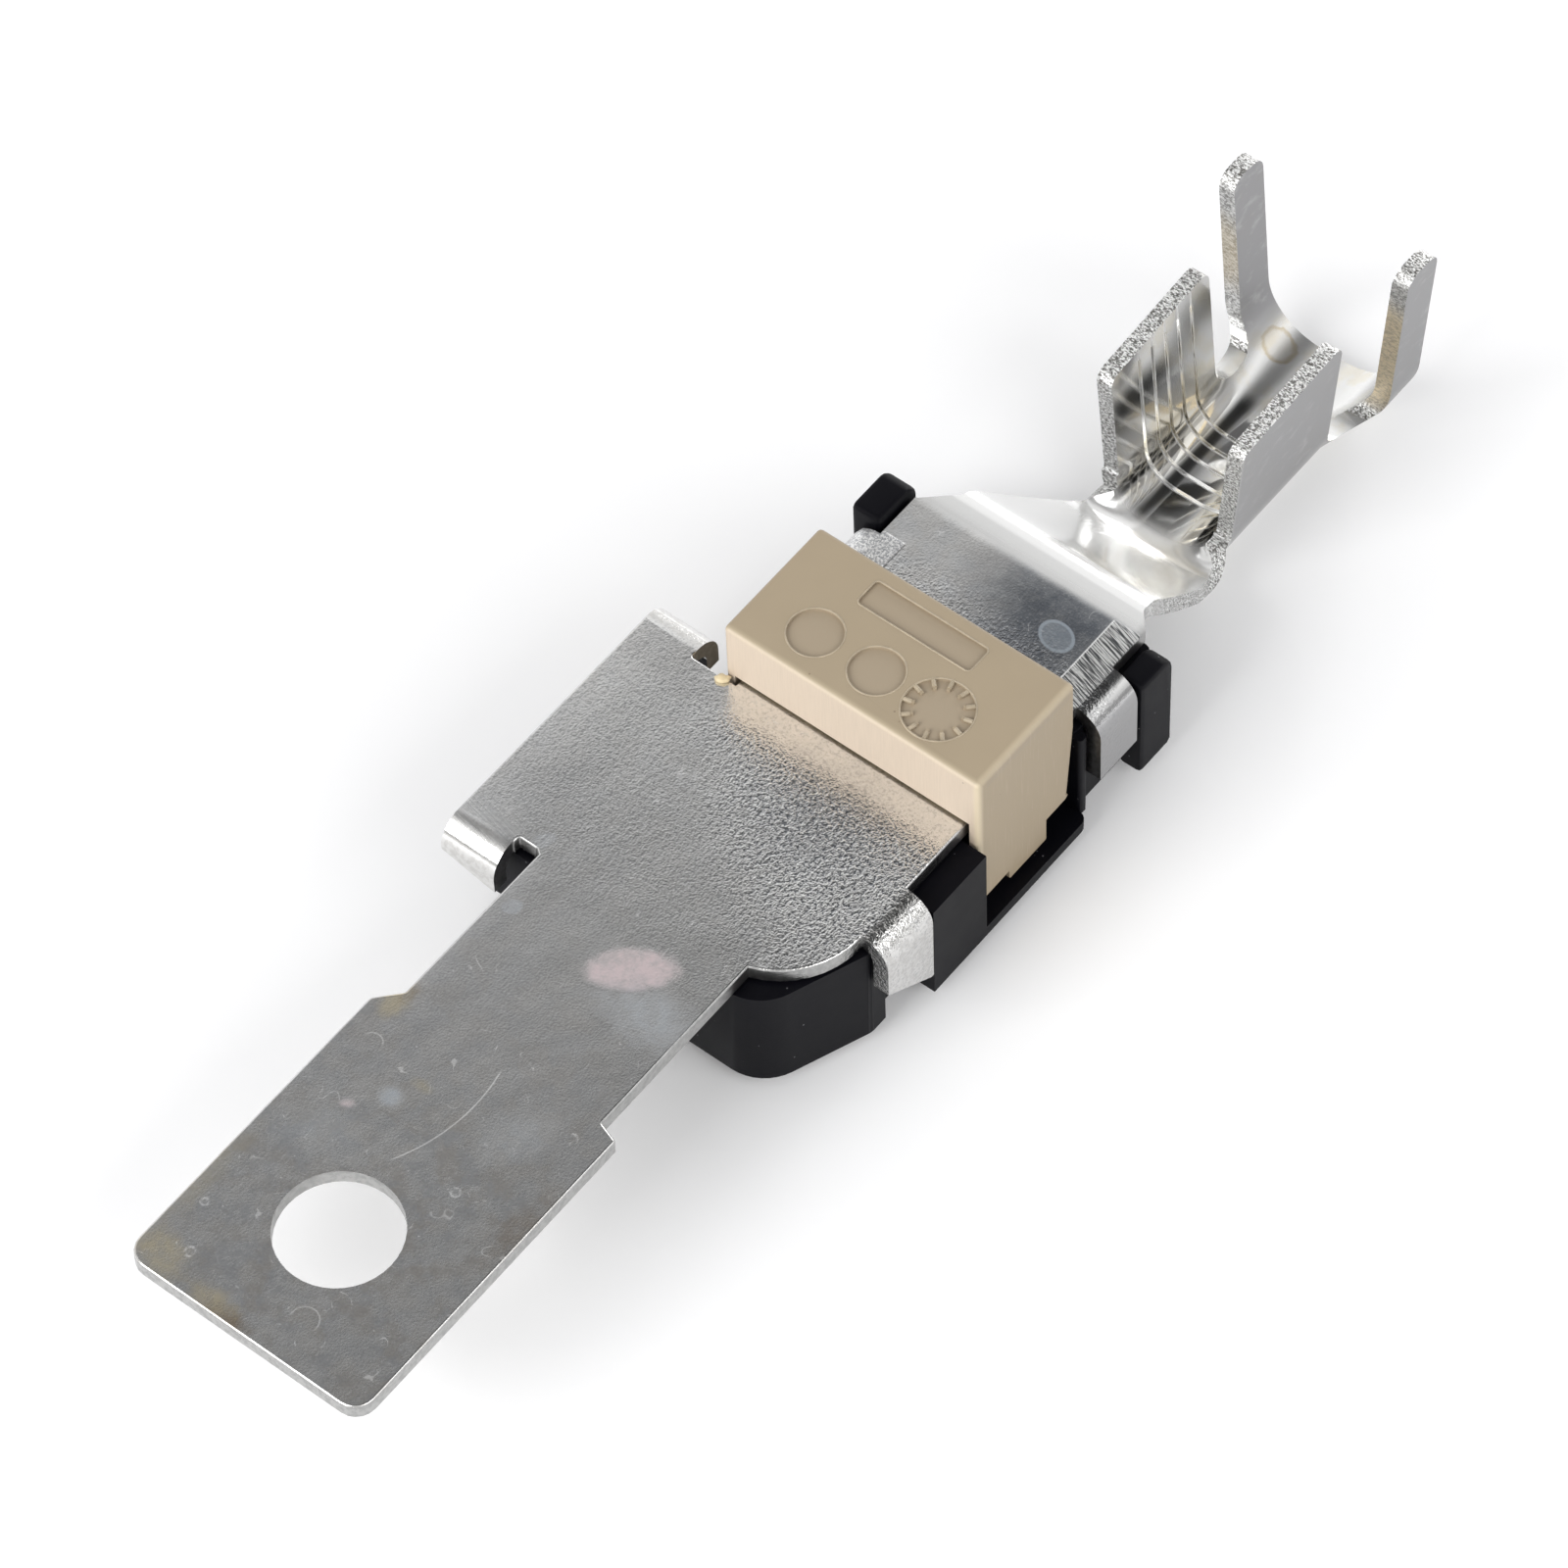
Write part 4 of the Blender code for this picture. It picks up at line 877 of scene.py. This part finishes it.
def bead_tree(material):
    """Geometry Nodes that sweep a round bead along every path of a mesh of edges."""
    tree = bpy.data.node_groups.new("swept_bead", "GeometryNodeTree")
    tree.interface.new_socket("Paths", in_out="INPUT", socket_type="NodeSocketGeometry")
    for name, kind in (("Bead Radius", "NodeSocketFloat"), ("Bead Sides", "NodeSocketInt")):
        tree.interface.new_socket(name, in_out="INPUT", socket_type=kind)
    tree.interface.new_socket("Beads", in_out="OUTPUT", socket_type="NodeSocketGeometry")
    kinds = ("NodeGroupInput", "GeometryNodeMeshToCurve", "GeometryNodeCurvePrimitiveCircle",
             "GeometryNodeCurveToMesh", "GeometryNodeSetShadeSmooth",
             "GeometryNodeRealizeInstances", "GeometryNodeSetMaterial", "NodeGroupOutput")
    start, paths, ring, sweep, smooth, real, painted, end = (tree.nodes.new(kind) for kind in kinds)
    sweep.inputs["Fill Caps"].default_value = True
    painted.inputs["Material"].default_value = material
    for out, into in (
            (start.outputs["Paths"], paths.inputs["Mesh"]),
            (start.outputs["Bead Radius"], ring.inputs["Radius"]),
            (start.outputs["Bead Sides"], ring.inputs["Resolution"]),
            (paths.outputs[0], sweep.inputs["Curve"]),
            (ring.outputs["Curve"], sweep.inputs["Profile Curve"]),
            (sweep.outputs[0], smooth.inputs["Geometry"]),
            (smooth.outputs[0], real.inputs["Geometry"]),
            (real.outputs[0], painted.inputs["Geometry"]),
            (painted.outputs[0], end.inputs[0])):
        tree.links.new(out, into)
    return tree


def beads(name, tree, paths, radius, height, closed):
    """A piece of round beads along paths that lie level in the cover's top."""
    points, edges = [], []
    for path in paths:
        first = len(points)
        points += [at(x, y, height) for x, y in path]
        edges += [(first + i, first + i + 1) for i in range(len(path) - 1)]
        if closed:
            edges.append((len(points) - 1, first))
    mesh = bpy.data.meshes.new(name)
    mesh.from_pydata(points, edges, [])
    piece = new_piece(name, mesh)
    modifier = piece.modifiers.new("beads", "NODES")
    modifier.node_group = tree
    sizes = {"Bead Radius": radius * MM, "Bead Sides": RIM_SIDES}
    for socket in tree.interface.items_tree:
        if socket.name in sizes:
            modifier[socket.identifier] = sizes[socket.name]
    apply_modifiers(piece)
    return piece


def cut_carrier_corner(piece):
    """Steps the carrier's front wall back under the wing's front tab."""
    low, high = (at(*corner) for corner in WING_CORNER)
    shape = Matrix.Translation((low + high) / 2) @ Matrix.Diagonal((*(high - low), 1.0))
    work = bmesh.new()
    bmesh.ops.create_cube(work, size=1.0, matrix=shape)
    mesh = bpy.data.meshes.new("wing_corner")
    work.to_mesh(mesh)
    work.free()
    cutter = new_piece("wing_corner", mesh)
    cut = piece.modifiers.new("corner", "BOOLEAN")
    cut.operation = "DIFFERENCE"
    cut.solver = "EXACT"
    cut.object = cutter
    apply_modifiers(piece)
    bpy.data.objects.remove(cutter, do_unlink=True)
    soften(piece.data)


FLASH_PLACE = (46.55, 7.1, 0.16)
FLASH_RADII = (0.52, 0.36, 0.24)
FLASH_TURN = -62
FLASH_SINK = 0.03
FLASH_SMOOTH_ANGLE = 50


def flash_bit():
    """A torn bit of flash on the plate at the cover's front left corner."""
    middle = at(*FLASH_PLACE)
    radii = Matrix.Diagonal((*(radius * MM for radius in FLASH_RADII), 1.0))
    turn = Matrix.Rotation(math.radians(FLASH_TURN), 4, "Z")
    work = bmesh.new()
    bmesh.ops.create_icosphere(work, subdivisions=3, radius=1.0,
                               matrix=Matrix.Translation(middle) @ turn @ radii)
    for vertex in work.verts:
        x, y, z = (vertex.co - middle) / MM
        swell = 0.16 * math.sin(7.0 * x + 2.0) * math.cos(9.0 * y)
        wobble = 1.0 + swell + 0.10 * math.sin(15.0 * x + 11.0 * y)
        lump = Vector((x * wobble, y * wobble, z * (1.0 + 0.12 * math.sin(13.0 * y))))
        vertex.co = middle + lump * MM
        vertex.co.z = max(vertex.co.z, at(0, 0, -FLASH_SINK).z)
    mesh = bpy.data.meshes.new("cover_flash")
    bmesh.ops.recalc_face_normals(work, faces=work.faces)
    work.to_mesh(mesh)
    work.free()
    mesh.materials.append(flash_finish())
    soften(mesh, FLASH_SMOOTH_ANGLE)
    return new_piece("cover_flash", mesh)


STRIP = dressed_copy("terminal_strip", "tinned_strip", 0.09, sheet_edge, 0.17)
mark_sheared(STRIP)
even_shading(STRIP, CABLE_END)
CARRIER = dressed_copy("carrier", "moulded_carrier", 0.12)
COVER = dressed_copy("fuse_cover", "moulded_cover", 0.05, cover_corner, 0.34, angle=50,
                     merge=0.06)
cut_carrier_corner(CARRIER)
MARK_RIMS, MARK_TICKS = rim_paths()
BEADS = bead_tree(rim_finish())
RIMS = beads("cover_rims", BEADS, MARK_RIMS, RIM_RADIUS, TOP_FACE - RIM_DEPTH, True)
TICKS = beads("dial_ticks", BEADS, MARK_TICKS, TICK_RADIUS, TOP_FACE - TICK_DEPTH, False)
FLASH = flash_bit()

for piece, node, finish in ((STRIP, "terminal_strip", tin_finish),
                            (CARRIER, "carrier", carrier_finish),
                            (COVER, "fuse_cover", cover_finish)):
    piece.data.materials.append(finish())
    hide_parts(node)

for piece, slot in ((STRIP, "tinned_copper"), (CARRIER, "black_moulding"), (COVER, "tan_moulding"),
                    (RIMS, "tan_moulding"), (TICKS, "tan_moulding"), (FLASH, "tan_moulding")):
    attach(piece, "root")


# Floor, light and camera

# The floor's own glow, from the middle of the object outwards
FLOOR_MIDDLE = (45.0, -3.0, -11.6)
FLOOR_REACH = 170.0
FLOOR_GLOWS = ((0.0, 0.10), (0.30, 0.12), (0.60, 0.30), (1.0, 0.60))
FLOOR_HALF = 3.0
FLOOR_DROP = 0.0002
ROOM_LIGHT = (0.42, 0.42, 0.43)

# The ceiling: its tones by distance from its middle, as a share of its reach, with the tone
# straight overhead, the way to its bright side and the shade of the rest, and one lit panel
CEILING_MIDDLE = (150.0, -100.0, 1000.0)
CEILING_REACH = 4000.0
CEILING_RADIUS = 9.0
CEILING_SHADE = 0.56
OVERHEAD_TONE = 0.15
CEILING_BRIGHT_WAY = (0.86, 0.51, 0.0)
PANEL_PLACE = (-600.0, 500.0, 1000.0)
PANEL_RADIUS, PANEL_SOFT, PANEL_TONE = 400.0, 180.0, 0.95
CEILING_TONES = ((0.112, 0.01), (0.140, 0.04), (0.153, 0.15), (0.165, 0.22), (0.172, 0.33),
                 (0.184, 0.45), (0.200, 0.60), (0.250, 0.95), (0.350, 0.95), (0.500, 0.88),
                 (0.900, 1.00))

# Lamps: name, place, the place it shines at, its two sides, power
LAMPS = (("key", (-0.62, 0.15, 0.42), (0, 0, 0), (0.5, 0.5), 4.6),
         ("side", (-0.05, -0.60, 0.45), (0, 0, 0), (0.6, 0.4), 2.0),
         ("fill", (0.74, 0.06, 0.19), (0.03, 0, 0), (0.4, 0.3), 1.9))

# The camera that was fitted to the photo: its place, its lens on a 36 mm sensor, and its own axes
CAMERA_PLACE = (-166.875, -180.657, 400.270)
CAMERA_LENS, CAMERA_SENSOR = 175.27, 36.0
CAMERA_CLIP = (0.01, 20.0)
CAMERA_RIGHT = (0.62101, -0.78336, -0.02644)
CAMERA_UP = (0.65477, 0.49993, 0.56687)
CAMERA_BACK = (-0.43084, -0.36934, 0.82338)


def area_light(name, place, target, size, power):
    lamp = bpy.data.lights.new(name, "AREA")
    lamp.shape = "RECTANGLE"
    lamp.size, lamp.size_y = size
    lamp.energy = power
    holder = bpy.data.objects.new(name, lamp)
    bpy.context.scene.collection.objects.link(holder)
    holder.location = place
    way = Vector(target) - Vector(place)
    holder.rotation_euler = way.to_track_quat("-Z", "Y").to_euler()


def make_floor():
    """The pale floor, which glows more away from the object, as the photo's background does."""
    mesh = bpy.data.meshes.new("floor")
    half = FLOOR_HALF
    mesh.from_pydata([(-half, -half, 0), (half, -half, 0), (half, half, 0), (-half, half, 0)], [],
                     [(0, 1, 2, 3)])
    floor = new_piece("floor", mesh)
    floor.location.z = -FLOOR_DROP
    n = Nodes("pale_floor")
    spread = n.ramp(n.reach(*FLOOR_MIDDLE) / FLOOR_REACH, *FLOOR_GLOWS)
    glow = n.mix(background_share(n.tree), (0.0, 0.0, 0.0), spread)
    n.finish(Base_Color=(0.9, 0.9, 0.9), Roughness=0.9, Emission_Color=glow,
             Emission_Strength=1.0)
    floor.data.materials.append(n.material)


def make_ceiling():
    """The studio's ceiling, which only reflections show: dark in its middle, bright on one side."""
    work = bmesh.new()
    bmesh.ops.create_circle(work, cap_ends=True, radius=CEILING_RADIUS, segments=64,
                            matrix=Matrix.Translation(at(0, 0, CEILING_MIDDLE[2])))
    mesh = bpy.data.meshes.new("studio_ceiling")
    work.to_mesh(mesh)
    work.free()
    ceiling = new_piece("studio_ceiling", mesh)
    n = Nodes("ceiling_paint")
    distance = n.reach(*CEILING_MIDDLE)
    tone = n.ramp(distance / CEILING_REACH, *CEILING_TONES)
    overhead = n.band(n.place.axis("X"), 430.0, 300.0) * OVERHEAD_TONE
    panel = PANEL_TONE * n.blot(*PANEL_PLACE, PANEL_RADIUS, PANEL_SOFT)
    tone = n.mix(1.0, tone, overhead.most(panel), "LIGHTEN")
    level = n.vector("NORMALIZE", n.vector("MULTIPLY", n.place, (1.0, 1.0, 0.0)))
    toward = n.vector("DOT_PRODUCT", level, CEILING_BRIGHT_WAY, output=1)
    lit_side = n.band(toward, 0.60, 0.90)
    far_side = n.band(level.axis("X"), -0.25, -0.60) * n.band(distance, 1000.0, 1300.0)
    shade = (1.0 - lit_side) * n.band(distance, 2500.0, 3000.0)
    shade = shade.most(far_side) * (1.0 - CEILING_SHADE)
    tone = n.mix(shade, tone, (0.0, 0.0, 0.0))
    n.finish(Base_Color=(0.0, 0.0, 0.0), Roughness=1.0, Emission_Color=tone,
             Emission_Strength=1.0)
    n.shader.inputs["Specular IOR Level"].default_value = 0.0
    ceiling.data.materials.append(n.material)
    ceiling.visible_camera = False
    ceiling.visible_diffuse = False
    ceiling.visible_shadow = False
    ceiling.visible_transmission = False


def background_share(tree):
    """1 for what the camera sees straight, mirrored or through something, 0 for other light."""
    path = tree.nodes.new("ShaderNodeLightPath")
    share = path.outputs["Is Camera Ray"]
    for name in ("Is Glossy Ray", "Is Transmission Ray"):
        most = tree.nodes.new("ShaderNodeMath")
        most.operation = "MAXIMUM"
        tree.links.new(share, most.inputs[0])
        tree.links.new(path.outputs[name], most.inputs[1])
        share = most.outputs[0]
    return share


def make_world():
    """White behind the object and in its mirrors, and a softer grey as the room's own light."""
    world = bpy.data.worlds.new("studio")
    bpy.context.scene.world = world
    world.use_nodes = True
    tree = world.node_tree
    mix = tree.nodes.new("ShaderNodeMix")
    mix.data_type = "RGBA"
    tree.links.new(background_share(tree), mix.inputs[0])
    mix.inputs[6].default_value = (*ROOM_LIGHT, 1.0)
    mix.inputs[7].default_value = (1.0, 1.0, 1.0, 1.0)
    tree.links.new(mix.outputs[2], tree.nodes["Background"].inputs["Color"])


def make_camera():
    """The photo's viewpoint: a long lens from the ring end's side, rolled by 1.5 degrees."""
    lens = bpy.data.cameras.new("camera")
    lens.sensor_width = CAMERA_SENSOR
    lens.lens = CAMERA_LENS
    lens.clip_start, lens.clip_end = CAMERA_CLIP
    camera = bpy.data.objects.new("camera", lens)
    bpy.context.scene.collection.objects.link(camera)
    turn = Matrix((CAMERA_RIGHT, CAMERA_UP, CAMERA_BACK)).transposed()
    camera.rotation_euler = turn.to_euler()
    camera.location = at(*CAMERA_PLACE)
    bpy.context.scene.camera = camera


make_floor()
make_ceiling()
make_world()
make_camera()
for lamp in LAMPS:
    area_light(*lamp)

bpy.context.scene.view_settings.view_transform = "Standard"
